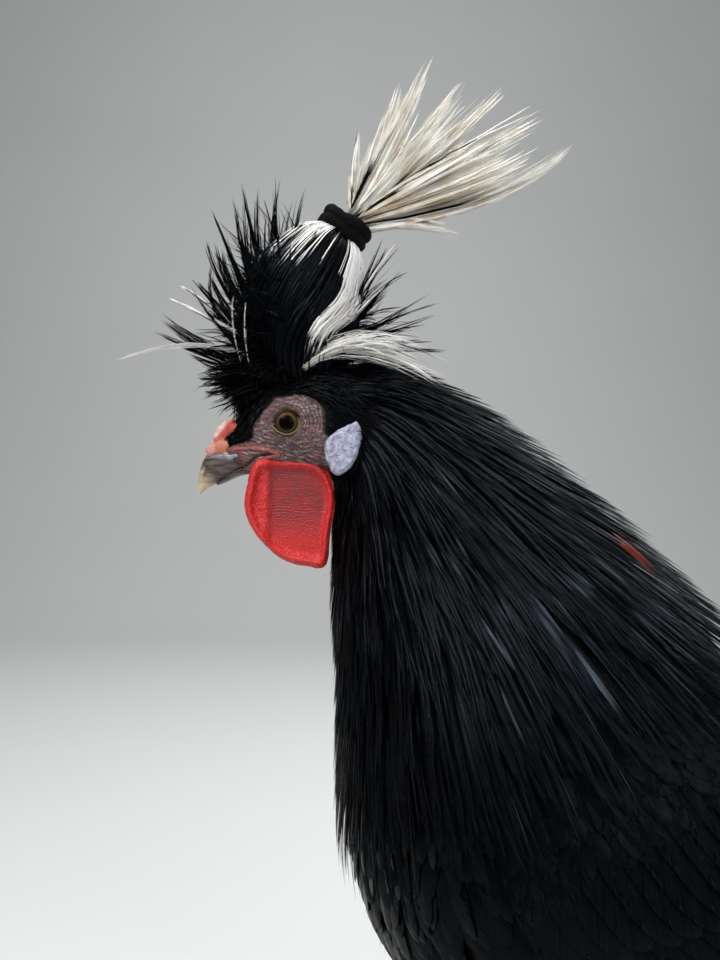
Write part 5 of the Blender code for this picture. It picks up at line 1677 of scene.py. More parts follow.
@dataclass(frozen=True)
class Crest:
    """The crest feathers: drawn up into the tie, standing loose, and hanging over the face."""

    tied: int = 2950
    under: int = 600
    fringe: int = 420
    lore: int = 1500
    ear: int = 210
    fans: tuple[Fan, ...] = (
        Fan((0.04, 0.459), -1, ((-22, 40), (10, 50), (30, 54), (52, 62), (74, 82), (88, 90)), 62, 1300, 0.6),
        Fan((0.043, 0.47), -1, ((10, 36), (40, 46), (70, 62)), 75, 300, 0.75),
        Fan((0.054, 0.463), 1, ((-14, 46), (22, 54), (42, 42), (60, 52)), 50, 170, 0.6),
    )
    brow_fan: Fan = Fan((0.036, 0.46), -1, ((-45, 37), (-25, 40), (-5, 44)), 34, 300, 0.76, 0.8)

    def tied_feathers(self, plumage: Plumage, count: int, slanting: bool) -> None:
        """Adds feathers that run up the crest to the tie.

        Args:
            plumage: The lot that they join.
            count: How many.
            slanting: Whether they lean forward at their roots, and lie outermost.
        """
        rng, tube, shares = plumage.rng, bundle(), HAIR.steps
        angle = rng.uniform(-180, 180, count)
        first = rng.uniform(0.3, 2.6, count) if slanting else rng.uniform(0.2, 3.6, count)
        last = np.where(rng.random(count) < 0.12, first + rng.uniform(1.5, 2.6, count), 5.95)
        place = first[:, None] + (np.minimum(last, 5.95) - first)[:, None] * shares
        lean = 0.28 * (1 - soft_step(1.0, 3.2, place)) if slanting else 0.0
        turn = angle[:, None] * (1 - lean) + rng.normal(0, 1.6, count)[:, None] * shares
        white = self.white_share(np.abs(angle), place, rng) if slanting else np.zeros_like(place)
        over = white.max(axis=1) > 0.5
        pale_lift, dark_lift = rng.uniform(0.0026, 0.0046, count), rng.uniform(0.0002, 0.0034, count)
        height = np.where(over, pale_lift, dark_lift)[:, None] - (0.0 if slanting else 0.0022)
        tuck = np.interp(place, (4.6, 5.9), (1.0, 0.15))
        lift = (-0.002 + (height + 0.002) * np.minimum(shares * 4, 1)) * tuck
        normals = tube.normal(place, turn) + rng.normal(0, 0.34, (count, 1, 3))
        half = np.where(over, 0.4, 1.0) * rng.uniform(0.0004, 0.0009, count)
        plumage.add(tube.point(place, turn, lift), normals, half, skin_unwrap(3.4, angle), HAIR, white)

    @staticmethod
    def white_share(angle: Array, place: Array, rng: Chance) -> Array:
        """Which of the tied feathers are white, and where.

        Args:
            angle: Degrees from the front of the crest, at the tie.
            place: How far up the crest each section is.
            rng: The source of chance.

        Returns:
            Whiteness for each feather and section.
        """
        n = len(angle)
        chance = rng.random(n)
        band = (np.abs(angle - 148) < 18) & (chance < 0.88)
        edge = (angle < 84) & (chance < np.interp(angle, (0, 36, 84), (0.92, 0.66, 0.07)))
        streak = (angle >= 40) & (angle < 130) & (chance < 0.026)
        in_band, in_edge, astray = (rng.uniform(*span, n) for span in ((0.9, 1.7), (2.7, 4.6), (1.8, 3.4)))
        low = np.where(band, in_band, np.where(edge, in_edge, astray))
        return (band | edge | streak)[:, None] * soft_step(0.0, 0.35, place - low[:, None])

    def fringe_feathers(self, plumage: Plumage) -> None:
        """Adds short feathers that hang over the forehead, the brow and the top of the cheeks."""
        rng, n = plumage.rng, self.fringe
        yaw = rng.uniform(-88, 88, n)
        turn = np.radians(yaw)
        side = np.abs(np.sin(turn))
        outward = xyz(-np.cos(turn), np.sin(turn), 0.0)
        start = outward * (0.01, 0.0105, 0.0) + (0.0385, 0.0, 0.4555)
        start += rng.normal(0, 0.0018, (n, 3)) * (1, 1, 1.4)
        low = 0.429 + 0.0192 * side**1.5 + rng.uniform(0, 0.012, n)
        back = 0.0375 + outward[:, 0] * (0.0195 - 0.002 * side) + rng.normal(0, 0.0012, n)
        end = xyz(back, outward[:, 1] * (0.0105 + 0.0075 * side), low)
        clear = (back < 0.029) | (low > 0.4486)
        start, end, outward, yaw, n = start[clear], end[clear], outward[clear], yaw[clear], int(clear.sum())
        paths = bezier(start, start + outward * (0.0125, 0.011, 0.0) + (0.0, 0.0, 0.002), end, WISP.steps)
        normals = unit(outward + rng.normal(0, 0.3, (n, 3)))[:, None]
        plumage.add(paths, normals, rng.uniform(0.0005, 0.001, n), skin_unwrap(2.4, -yaw), WISP)

    def lore_feathers(self, plumage: Plumage) -> None:
        """Adds the short feathers between the eye and the comb, which point down and forward."""
        rng, n = plumage.rng, self.lore
        station, angle = rng.uniform(0.5, 4.2, n), rng.uniform(0, 82, n) * rng.choice([-1, 1], n)
        start = BODY.over(station, angle, -0.0004)
        heights = (0.4245, 0.4278, 0.4338, 0.439, 0.443, 0.4462, 0.447)
        edge = np.interp(start[:, 2], heights, (0.017, 0.025, 0.0262, 0.029, 0.033, 0.035, 0.06))
        chosen = (start[:, 0] < edge) & (start[:, 2] > 0.4262)
        station, angle, start, n = station[chosen], angle[chosen], start[chosen], int(chosen.sum())
        way = unit(rng.normal(0, 0.16, (n, 3)) + (-0.35, 0.0, -0.9))
        low = np.interp(start[:, 0], (0.028, 0.034), (0.4262, 0.4448))
        length = np.minimum(rng.uniform(0.004, 0.009, n), np.maximum((start[:, 2] - low) / 0.9, 0.0016))
        normal = BODY.normal(station, angle)
        end = start + way * length[:, None] + normal * rng.uniform(0.0004, 0.0016, n)[:, None]
        paths = bezier(start, (start + end) / 2 + normal * 0.0009, end, WISP.steps)
        normals = (normal + rng.normal(0, 0.25, (n, 3)))[:, None]
        plumage.add(paths, normals, rng.uniform(0.0004, 0.0007, n), skin_unwrap(station, angle), WISP)

    def ear_tufts(self, plumage: Plumage) -> None:
        """Adds the small tufts that cover the ears above the lobes."""
        rng, shares = plumage.rng, WISP.steps
        spans = ((2.7, 4.7), (3.6, 4.6)), ((14, 60), (48, 100))
        for side, stations, angles in itertools.product(Side, *spans):
            station, angle = rng.uniform(*stations, self.ear), rng.uniform(*angles, self.ear) * -side.value
            covered = self.over_brow(BODY.point(station, angle))
            station, angle, n = station[covered], angle[covered], int(covered.sum())
            places = BODY.advance(station, angle, rng.uniform(0.01, 0.019, n)[:, None] * shares)
            turns = angle[:, None] + (rng.normal(9, 7, n) * -side.value)[:, None] * shares
            paths = BODY.over(places, turns, -0.0008 + 0.0036 * shares * rng.uniform(0.3, 1.2, (n, 1)))
            normals = BODY.normal(places, turns) + rng.normal(0, 0.25, (n, 1, 3))
            half, clear = rng.uniform(0.0006, 0.0011, n), self.over_brow(paths).all(axis=1)
            plumage.add(paths[clear], normals[clear], half[clear], skin_unwrap(station, angle)[clear], WISP)

    @staticmethod
    def over_brow(places: Array) -> Array:
        """Whether places lie above or behind the bare face."""
        known = (0.03, 0.0452, 0.0523, 0.0553, 0.0554)
        return places[..., 2] > np.interp(places[..., 0], known, (0.445, 0.4462, 0.444, 0.4405, 0.0))

    def loose_locks(self) -> list[Lock]:
        """The long spikes, the white locks and the single long feather."""
        nape = {"half_width": 0.00028, "white": 0.94, "shortest": 0.45, "shape": FRAY}
        return [
            *(Lock(row, 8, (26, 13, 5), 0.00032) for row in FRONT_SPIKES),
            *(Lock(row, 6, (26, 13, 6), 0.0003) for row in REAR_SPIKES),
            Lock((476, -160, 4572, 668, -160, 4775, 1065, -160, 4560), 70, (10, 38, 56), **nape),
            Lock((485, -170, 4575, 702, -170, 4750, 943, -170, 4622), 50, (10, 34, 52), **nape),
            Lock((627, -170, 4633, 856, -180, 4655, 1068, -170, 4475), 22, (8, 10, 4), **nape),
            Lock((240, -60, 4700, -17, -80, 4835, -107, -80, 4878), 14, (12, 10, 3), white=0.9),
            Lock((300, -80, 4600, 20, -80, 4760, -345, -40, 4616), 4, (4, 4, 1), 0.0006, 1.0, 0.93),
            Lock((215, -160, 4600, 165, -200, 4760, 190, -180, 4930), 2, (6, 6, 4), 0.0002, 1.0),
            Lock((250, -170, 4580, 225, -210, 4700, 240, -200, 4850), 2, (6, 6, 4), 0.0002, 1.0),
            Lock((595, -60, 4655, 690, -100, 4830, 835, -120, 4935), 5, (8, 6, 2), white=1.0),
            Lock((590, -40, 4665, 685, -70, 4890, 870, -80, 5120), 4, (6, 5, 2), white=1.0),
        ]

    def build(self, material: Material) -> None:
        """Makes the crest."""
        plumage = Plumage("crest_tied", 21)
        self.tied_feathers(plumage, self.under, slanting=False)
        self.tied_feathers(plumage, self.tied, slanting=True)
        plumage.build("black_plumage", material, ("crest",))
        plumage = Plumage("crest_loose", 22)
        for fan in self.fans:
            fan.grow(plumage)
        for lock in self.loose_locks():
            lock.grow(plumage)
            lock.grow(plumage, mirrored=lock.shortest < 0.9)
        plumage.build("black_plumage", material)
        plumage = Plumage("face_feathers", 23)
        self.fringe_feathers(plumage)
        self.brow_fan.grow(plumage)
        self.lore_feathers(plumage)
        self.ear_tufts(plumage)
        plumage.build("black_plumage", material)


@dataclass(frozen=True)
class Plume:
    """The loose white feathers above the tie, in locks: a row, a count and three spreads."""

    half_width: float = 0.00075
    locks: Sequence[tuple[Sequence[int], int, Sequence[int]]] = (
        ((675, 10, 5258, 666, 5423, 704, 5647), 16, (18, 18, 5)),
        ((688, -10, 5265, 714, 5424, 766, 5579), 14, (18, 16, 7)),
        ((680, -15, 5254, 809, 5462, 1020, 5927), 52, (22, 40, 22)),
        ((675, 15, 5269, 790, 5517, 884, 5876), 34, (20, 32, 18)),
        ((684, -25, 5251, 830, 5472, 982, 5808), 40, (20, 36, 30)),
        ((688, 10, 5258, 953, 5555, 1183, 5892), 30, (20, 34, 10)),
        ((693, -20, 5244, 1011, 5478, 1338, 5793), 60, (24, 44, 24)),
        ((697, -10, 5243, 1057, 5445, 1493, 5687), 64, (24, 44, 28)),
        ((701, 20, 5248, 1110, 5456, 1542, 5702), 44, (22, 40, 22)),
        ((706, -30, 5228, 1180, 5360, 1441, 5494), 44, (22, 38, 30)),
        ((714, -15, 5206, 1402, 5284, 1634, 5564), 44, (20, 28, 10)),
        ((714, 25, 5228, 1201, 5349, 1430, 5459), 40, (22, 36, 28)),
        ((727, -10, 5182, 927, 5254, 1151, 5151), 30, (14, 18, 12)),
        ((692, 5, 5248, 930, 5462, 1229, 5693), 56, (24, 48, 40)),
        ((697, -30, 5232, 966, 5381, 1301, 5536), 50, (24, 46, 40)),
        ((690, 30, 5240, 966, 120, 5440, 1240, 180, 5640), 44, (24, 44, 34)),
        ((690, -30, 5240, 930, -130, 5470, 1130, -190, 5680), 36, (24, 42, 34)),
    )

    def build(self, material: Material) -> Piece:
        """Makes the plume."""
        plumage = Plumage("plume_feathers", 5)
        for row, count, spreads in self.locks:
            Lock(row, count, spreads, self.half_width, 0.985, 0.5, 0.15, FRAY).grow(plumage)
        return plumage.build("white_plumage", material, ("crest_plume",))


@dataclass(frozen=True)
class BodyCoat:
    """All the feathers that lie along neck, trunk and saddle."""

    hackle_marks: Rows = (
        (4.45, 0.022, 0.0007, 0.0042),
        (5.6, 0.038, 0.0009, 0.006),
        (6.6, 0.054, 0.0011, 0.0098),
        (8.0, 0.068, 0.0014, 0.015),
        (9.1, 0.072, 0.0016, 0.0172),
        (11.4, 0.072, 0.0016, 0.0172),
    )
    throat_marks: Rows = (
        (4.3, 0.013, 0.0008, 0.0058),
        (5.6, 0.017, 0.0009, 0.0072),
        (6.8, 0.02, 0.001, 0.0062),
    )
    rust_marks: Rows = ((8.78, 0.02, 0.0007, 0.0178), (8.98, 0.02, 0.0007, 0.018))
    breast_marks: Rows = ((9.0, 0.03, 0.0046, 0.003), (16.5, 0.034, 0.0056, 0.0022))
    back_marks: Rows = ((9.6, 0.034, 0.0046, 0.0034), (13.0, 0.036, 0.005, 0.004))
    rump_marks: Rows = ((15.0, 0.028, 0.0042, 0.0026), (18.6, 0.022, 0.0034, 0.0044))
    saddle_marks: Rows = (
        (11.2, 0.06, 0.0014, 0.0085),
        (14.0, 0.07, 0.0016, 0.0105),
        (17.2, 0.05, 0.0013, 0.009),
    )

    @staticmethod
    def clear_of_face(station: Array, angle: Array) -> Array:
        """Roots that don't lie under an earlobe or too far down for the hackle."""
        turn = np.abs(angle)
        return ~((station < 5.35) & (turn > 62) & (turn < 140)) & (station < 9.1)

    def hackle(self, name: str, count: int) -> Coat:
        """One layer of the hackle."""
        # The hackle's few white strands are partly stray white feathers and partly painted highlight; its glint
        # strands are painted highlight.
        looks = {"belly": 0.46, "white": 0.0012, "tilt": 0.22, "painted_glint": 0.5}
        return Coat(name, count, (0, 180), self.hackle_marks, SILK, **looks)

    def build(self, material: Material) -> None:
        """Makes the coat in several pieces."""
        for name, seed in (("hackle_inner", 31), ("hackle_outer", 32)):
            plumage = Plumage(name, seed)
            self.hackle(name, 2900).grow(plumage, self.clear_of_face)
            if name == "hackle_outer":
                Coat("throat", 520, (128, 180), self.throat_marks, WISP, 0.001).grow(plumage)
                still = {"loose": 0.0, "wander": 0.8, "white": -1.0}
                rust = Coat("rust", 8, (35, 40.5), self.rust_marks, SILK, -0.0155, **still)
                rust.grow(plumage, lambda station, angle: angle > 0)
            plumage.build("black_plumage", material)
        regions = (
            Coat("breast_feathers", 1700, (84, 180), self.breast_marks, LEAF, 0.0045, loose=0.45, tilt=0.16),
            Coat("back_feathers", 700, (0, 75), self.back_marks, LEAF, 0.004, loose=0.35, tilt=0.16),
            Coat("rump_feathers", 950, (50, 180), self.rump_marks, LEAF, 0.003, loose=0.4, tilt=0.16),
            Coat("saddle_feathers", 1250, (0, 48), self.saddle_marks, SILK, 0.004, sweep=16, tilt=0.2),
        )
        for seed, region in enumerate(regions, 40):
            plumage = Plumage(region.name, seed)
            region.grow(plumage)
            plumage.build("black_plumage", material)


@dataclass(frozen=True)
class QuillRow:
    """One row of wing feathers, from its lowest to its uppermost.

    corners holds the lowest and uppermost root and then the lowest and uppermost tip, each (station, angle).
    """

    count: int
    corners: Rows
    lifts: Pair
    half_width: float = 0.0078

    def grow(self, plumage: Plumage, side: Side) -> None:
        """Adds the row on one side, each feather laid a little over the one below it."""
        rng, n, shares = plumage.rng, self.count, QUILL.steps
        step = np.linspace(0, 1, n)[:, None]
        low_root, high_root, low_tip, high_tip = np.array(self.corners)
        root = low_root * (1 - step) + high_root * step
        tip = low_tip * (1 - step) + high_tip * step + rng.normal(0, 0.02, (n, 1))
        station = root[:, :1] + (tip[:, :1] - root[:, :1]) * shares
        angle = (root[:, 1:] + (tip[:, 1:] - root[:, 1:]) * shares) * -side.value
        lift = self.lifts[0] + (self.lifts[1] - self.lifts[0]) * shares**0.7 + 0.0004 * step
        lean = np.radians(-side.value * 17)
        around = unit(BODY.point(station, angle + 2) - BODY.point(station, angle - 2))
        normals = BODY.normal(station, angle) * np.cos(lean) - around * np.sin(lean) * -side.value
        roots = skin_unwrap(root[:, 0], angle[:, 0])
        plumage.add(BODY.over(station, angle, lift), normals, self.half_width, roots, QUILL)


@dataclass(frozen=True)
class Wing:
    """One folded wing: quills, coverts and the small feathers of the shoulder."""

    side: Side
    rows: tuple[QuillRow, ...] = (
        QuillRow(6, ((12.4, 102), (12.8, 88), (15.9, 90), (16.6, 78)), (0.0022, 0.0034), 0.0058),
        QuillRow(13, ((11.6, 108), (12.0, 60), (14.5, 107), (15.9, 66)), (0.0024, 0.0056)),
        QuillRow(12, ((10.9, 106), (11.1, 60), (12.9, 105), (13.7, 63)), (0.0028, 0.0074)),
        QuillRow(12, ((10.4, 102), (10.6, 62), (12.1, 103), (12.5, 64)), (0.003, 0.0082)),
    )
    shoulder_marks: Rows = ((9.7, 0.021, 0.004, 0.0082), (11.3, 0.025, 0.0046, 0.0092))

    def build(self, material: Material) -> Piece:
        """Makes the wing."""
        plumage = Plumage("wing_feathers_" + self.side.word, 60 + self.side.value)
        for row in self.rows:
            row.grow(plumage, self.side)
        shoulder = Coat("shoulder", 620, (58, 106), self.shoulder_marks, LEAF, -0.0008, loose=0.3, tilt=0.16)
        shoulder.grow(plumage, lambda station, angle: np.sign(angle) == -self.side.value)
        return plumage.build("black_plumage", material, ("wing_" + self.side.word,))


@dataclass(frozen=True)
class Tail:
    """The upright tail: broad main feathers, sickles that arch over them, and the coverts at its root."""

    root: Pair = (0.32, 0.26)
    pairs: int = 7
    length: float = 0.15
    pitch: float = 9.5
    sickles: tuple[float, ...] = (1.0, 0.92, 0.84, 0.77, 0.7, 0.6)
    bend: Pair = (0.062, 0.235)
    tip: Pair = (0.137, 0.07)
    spacing: float = 0.001
    splay: float = 1.1
    covert_count: int = 250
    fluff_count: int = 150

    def out(self, x: float, z: float, share: float, degrees: float) -> Array:
        """The point (x, z) from the root, drawn in to a share and turned down by some degrees."""
        turn = math.radians(degrees)
        x, z = x * share, z * share
        way = x * math.cos(turn) + z * math.sin(turn), z * math.cos(turn) - x * math.sin(turn)
        return np.array(self.root) + way

    def vane(
        self, plumage: Plumage, side: Side, layer: float, points: Rows, half: float, shape: FeatherShape
    ) -> None:
        """Adds one feather, which stands on edge, or flat over the middle if its layer is below 0.

        Args:
            plumage: The lot that it joins.
            side: The side of the tail.
            layer: How many feathers lie between it and the middle.
            points: The point (x, z) towards which it leaves its root, and its tip (x, z).
            half: Its half width.
            shape: Its shape.
        """
        shares = shape.steps
        line = [np.array([[x, 0.0, z]]) for x, z in (self.root, *points)]
        path = bezier(*line, shares)
        path[..., 1] = side.value * self.spacing * (layer + 0.5) * (0.75 + self.splay * shares)
        back, up = np.array(points[1]) - self.root
        face = unit(np.array([-up, 0.0, back])) if layer < 0 else np.array([0.0, side.value, 0.0])
        root = skin_unwrap(18.6, np.array([-side.value * (10 + layer * 3)]))
        plumage.add(path, face + plumage.rng.normal(0, 0.04, 3), half, root, shape)

    def coverts(self, plumage: Plumage) -> None:
        """Adds the soft curved feathers round the tail's root."""
        rng, n = plumage.rng, self.covert_count
        side, aim = rng.choice([-1, 1], n), np.radians(rng.uniform(-42, 72, n))
        low = aim < 0.1
        height = rng.uniform(0.252, 0.272, n) - 0.012 * low
        root = xyz(rng.uniform(0.296, 0.33, n), side * rng.uniform(0.0, 0.012, n), height)
        length = (rng.uniform(0.045, 0.085, n) * np.where(low, 0.62, 1.0))[:, None]
        way = xyz(np.cos(aim), side * rng.uniform(0.05, 0.16, n), np.sin(aim)) * length
        paths = bezier(root, root + way * 0.55 + (0, 0, 0.006), root + way + (0.006, 0, -0.012), LANCE.steps)
        normals = unit(xyz(-0.25 * np.sin(aim), side, 0.3))[:, None]
        plumage.add(paths, normals, rng.uniform(0.0035, 0.0055, n), skin_unwrap(17.6, -side * 30.0), LANCE)

    def fluff(self, plumage: Plumage) -> None:
        """Adds the soft feathers below the tail's root, with their faces to the rear."""
        rng, n = plumage.rng, self.fluff_count
        y, height = rng.uniform(-0.015, 0.015, n), rng.uniform(0.238, 0.28, n)
        root = xyz(0.322 + 0.6 * (height - 0.248) - 25 * y * y, y, height)
        way = xyz(rng.uniform(0.3, 0.75, n), y * 14 + rng.normal(0, 0.12, n), -1.0)
        way = way * rng.uniform(0.022, 0.036, n)[:, None]
        paths = bezier(root, root + way * 0.3 + (0.01, 0, 0.002), root + way + (0.006, 0, 0), LANCE.steps)
        normals = unit(xyz(1.0, y * 20 + rng.normal(0, 0.15, n), 0.5))[:, None]
        plumage.add(paths, normals, rng.uniform(0.003, 0.0048, n), skin_unwrap(18.6, 150 - y * 4000), LANCE)

    def build(self, material: Material) -> Piece:
        """Makes the tail."""
        plumage = Plumage("tail_feathers", 70)
        for side in Side:
            for k in range(self.pairs):
                reach, turn = self.length - 0.0028 * k - 0.009 * (k == 0), 18 + self.pitch * k
                points = self.out(0, 0.55, reach, turn), self.out(0, 1, reach, turn) - (0.0, 0.003)
                self.vane(plumage, side, k, points, 0.0176, QUILL)
                if side is Side.LEFT:
                    self.vane(plumage, side, -0.5, points, 0.0075, QUILL)
            for k, share in enumerate(self.sickles):
                points = self.out(*self.bend, share, 6.5 * k), self.out(*self.tip, share, 5.5 * k)
                self.vane(plumage, side, self.pairs + k, points, 0.0108 - 0.0006 * k, SICKLE)
        self.coverts(plumage)
        self.fluff(plumage)
        return plumage.build("black_plumage", material, ("tail",))


@dataclass(frozen=True)
class ThighCoat:
    """The small feathers of one drumstick."""

    side: Side
    count: int = 420

    def build(self, material: Material) -> Piece:
        """Makes the thigh's feathers."""
        plumage = Plumage("thigh_feathers_" + self.side.word, 80 + self.side.value)
        rng, n, shares, tube = plumage.rng, self.count, LEAF.steps, drumstick(self.side)
        first = rng.uniform(0.1, 3.55, n)
        length = np.interp(first, (0, 2, 3.5), (1.0, 0.95, 0.55)) * rng.uniform(0.8, 1.1, n)
        wanted = first[:, None] + length[:, None] * shares
        place = np.minimum(wanted, 4.15)
        angle = rng.uniform(0, 360, n)[:, None] + rng.normal(0, 5, (n, 1)) * shares
        paths = tube.point(place, angle, -0.003 + (0.0035 + rng.uniform(0, 0.0008, (n, 1))) * shares)
        paths[..., 2] -= (wanted - place) * 0.011
        half = np.interp(first, (0, 2, 3.6), (0.007, 0.0052, 0.0026)) * rng.uniform(0.85, 1.1, n)
        normals = tube.normal(place, angle) + rng.normal(0, 0.1, (n, 1, 3))
        plumage.add(paths, normals, half, skin_unwrap(14.5 + first / 4, angle[:, 0]), LEAF)
        return plumage.build("black_plumage", material)


@dataclass(frozen=True)
class Toe:
    """A toe, by the way it points, its length and its number of joints."""

    heading: float
    length: float
    joints: int


@dataclass(frozen=True)
class Leg:
    """One leg below the feathers: shank with scutes and spur, foot, toes and claws."""

    side: Side
    hock: Pair = (0.196, 0.12)
    ankle: Pair = (0.162, 0.02)
    shank_radius: float = 0.0056
    toe_radius: float = 0.005
    scutes: int = 17
    ball: Rows = (
        (0, 215, 66, 62),
        (-10, 160, 72, 70),
        (-20, 100, 80, 82),
        (-30, 40, 78, 82),
        (-30, 10, 55, 60),
    )
    toes: tuple[Toe, ...] = (Toe(-172, 0.027, 2), Toe(-32, 0.044, 3), Toe(-2, 0.06, 4), Toe(30, 0.049, 5))

    @property
    def y(self) -> float:
        """How far the leg stands from the middle plane, towards the bird's right."""
        return self.side.value * LEG_OUT

    def along_shank(self, share: float, lower: float = 0.0) -> Array:
        """A point on the way from the hock to the ankle, or to a point somewhat below the ankle."""
        (x, z), (low_x, low_z) = self.hock, self.ankle
        return np.array([x + (low_x - x) * share, self.y, z + (low_z - lower - z) * share])

    def shank(self) -> Piece:
        """The shank, with a row of broad scutes in front."""
        rows = []
        for share in np.linspace(-0.13, 1, 12):
            swell = 0.002 * hump(share, 0.12) + 0.0012 * hump(1 - share, 0.1)
            size = self.shank_radius + swell, self.shank_radius * 0.9 + swell
            rows.append((*self.along_shank(share, 0.003), *size))

        def plates(place: Array, angle: Array) -> Array:
            """Overlapping scutes on the front half and low grains behind."""
            step = (place / 11 * self.scutes + 0.12 * np.sin(np.radians(angle * 2))) % 1.0
            return 0.00055 * step**1.5 * soft_step(95, 125, np.abs((angle + 180) % 360 - 180))

        return Tube(rows).wrap("shank", 260, 40, plates)

    def foot(self) -> Piece:
        """The ball of the foot."""
        x = self.ankle[0]
        return Tube([(x + ahead, self.y, *sizes) for ahead, *sizes in metres(self.ball)]).wrap("ball", 30, 32)

    def toe(self, toe: Toe) -> tuple[Piece, Piece]:
        """One toe with its pads and top scutes, and its claw."""
        turn, last = math.radians(toe.heading), toe.joints * 4
        heading = np.array([-math.cos(turn), self.side.value * math.sin(turn), 0.0])
        start = np.array([self.ankle[0] - 0.002, self.y, 0.0])
        root, rows, claw = start + heading * (toe.length - 0.0006), [], []
        for share in np.arange(last + 1) / last:
            pads = 1.0 + 0.09 * math.sin(2 * math.pi * toe.joints * share - 0.9)
            size = self.toe_radius * (1.0 - 0.35 * share) * pads
            x, y, _ = start + heading * toe.length * share
            rows.append((x, y, self.toe_radius * (1.16 - 0.5 * share), size * 1.08, size))
        for share in np.linspace(0, 1, 9):
            x, y, _ = root + heading * 0.0128 * share
            height = 0.0034 + 0.001 * math.sin(share * 2.2) - 0.0026 * share**1.5
            size = 0.0027 * (1 - share) ** 0.75 + 0.00015
            claw.append((x, y, height, size, size * 0.72))

        def scutes(place: Array, angle: Array) -> Array:
            """Small overlapping scutes along the top."""
            step = (place / last * toe.joints * 3.2) % 1.0
            return 0.00042 * step**1.5 * soft_step(0.2, 0.7, np.abs(np.cos(np.radians(angle))))

        return Tube(rows).wrap("toe", 110, 24, scutes), Tube(claw).wrap("claw", 24, 14)

    def spur(self) -> Piece:
        """The spur on the inner side of the shank."""
        root, rows = self.along_shank(0.68), []
        for share in np.linspace(0, 1, 8):
            inward, up = -self.side.value * 0.011 * share**0.8, 0.004 * share**3 - 0.001 * math.sin(share * 3)
            size = 0.0033 * (1 - share) ** 0.7 + 0.0002
            rows.append((*(root + (0.0185 * share, inward, up)), size, size))
        return Tube(rows).wrap("spur", 24, 16)

    def build(self, scales: Material, horn: Material) -> None:
        """Makes the leg, and flattens whatever would reach below the floor."""
        word = self.side.word
        shank, ball = self.shank(), self.foot()
        toes, claws = zip(*(self.toe(toe) for toe in self.toes))
        leg = join_pieces("leg_" + word, [shank, ball, *toes])
        nails = join_pieces("claws_" + word, [self.spur(), *claws])
        for piece in (leg, nails):
            x, y, z = coordinates(piece).T
            set_coordinates(piece, xyz(x, y, np.maximum(z, 0.0)))
        store(leg, edge=np.clip(lumps(coordinates(leg), 300, 2.0), 0, 1) * 0.5, grain=0.6)
        finish_piece(leg, "slate_leg", scales, ("shank_" + word, "foot_" + word))
        finish_piece(nails, "claw_horn", horn, tuple(f"claw_{word}_{k}" for k in (1, 2, 3, 4)))


@dataclass(frozen=True)
class FaceBristles:
    """Sparse fine bristles on the bare face."""

    count: int = 300
    half_width: float = 0.00006

    def build(self, material: Material) -> Piece:
        """Makes the bristles."""
        plumage = Plumage("face_bristles", 90)
        rng, n, shares = plumage.rng, self.count, BARB.steps
        station = rng.uniform(1.6, 4.0, n)
        angle = rng.uniform(52, 128, n) * rng.choice([-1, 1], n)
        places = BODY.advance(station, angle, rng.uniform(0.0014, 0.003, n)[:, None] * shares)
        turns = angle[:, None] + rng.normal(0, 7, (n, 1)) * shares
        paths = BODY.over(places, turns, -0.0002 + rng.uniform(0.0006, 0.0016, (n, 1)) * shares)
        x, _, z = paths.mean(axis=1).T
        off_eye = np.hypot(x - EYE_IN_DESIGN[0], z - EYE_IN_DESIGN[2]) > 0.0082
        clear = off_eye & (z < 0.44) & (x < 0.055) & (x > 0.028)
        white = (rng.random(n) < 0.3)[clear, None] * 1.0
        roots = skin_unwrap(station, angle)[clear]
        plumage.add(paths[clear], BODY.normal(places, turns)[clear], self.half_width, roots, BARB, white)
        return plumage.build("black_plumage", material)


@dataclass(frozen=True)
class Light:
    """One soft light: where it hangs, what it looks at, its width, its power in watts and its colour."""

    name: str
    place: Sequence[float]
    target: Sequence[float]
    size: float
    watts: float
    colour: Colour

    def build(self) -> None:
        """Adds the light."""
        choose()
        bpy.ops.object.light_add(type="AREA", location=tuple(np.array(self.place) + SHIFT))
        lamp = bpy.context.object
        lamp.name, lamp.data.shape = self.name, "DISK"
        lamp.data.size, lamp.data.energy, lamp.data.color = self.size, self.watts, self.colour
        way = Vector(self.target) - Vector(self.place)
        lamp.rotation_euler = way.to_track_quat("-Z", "Y").to_euler()


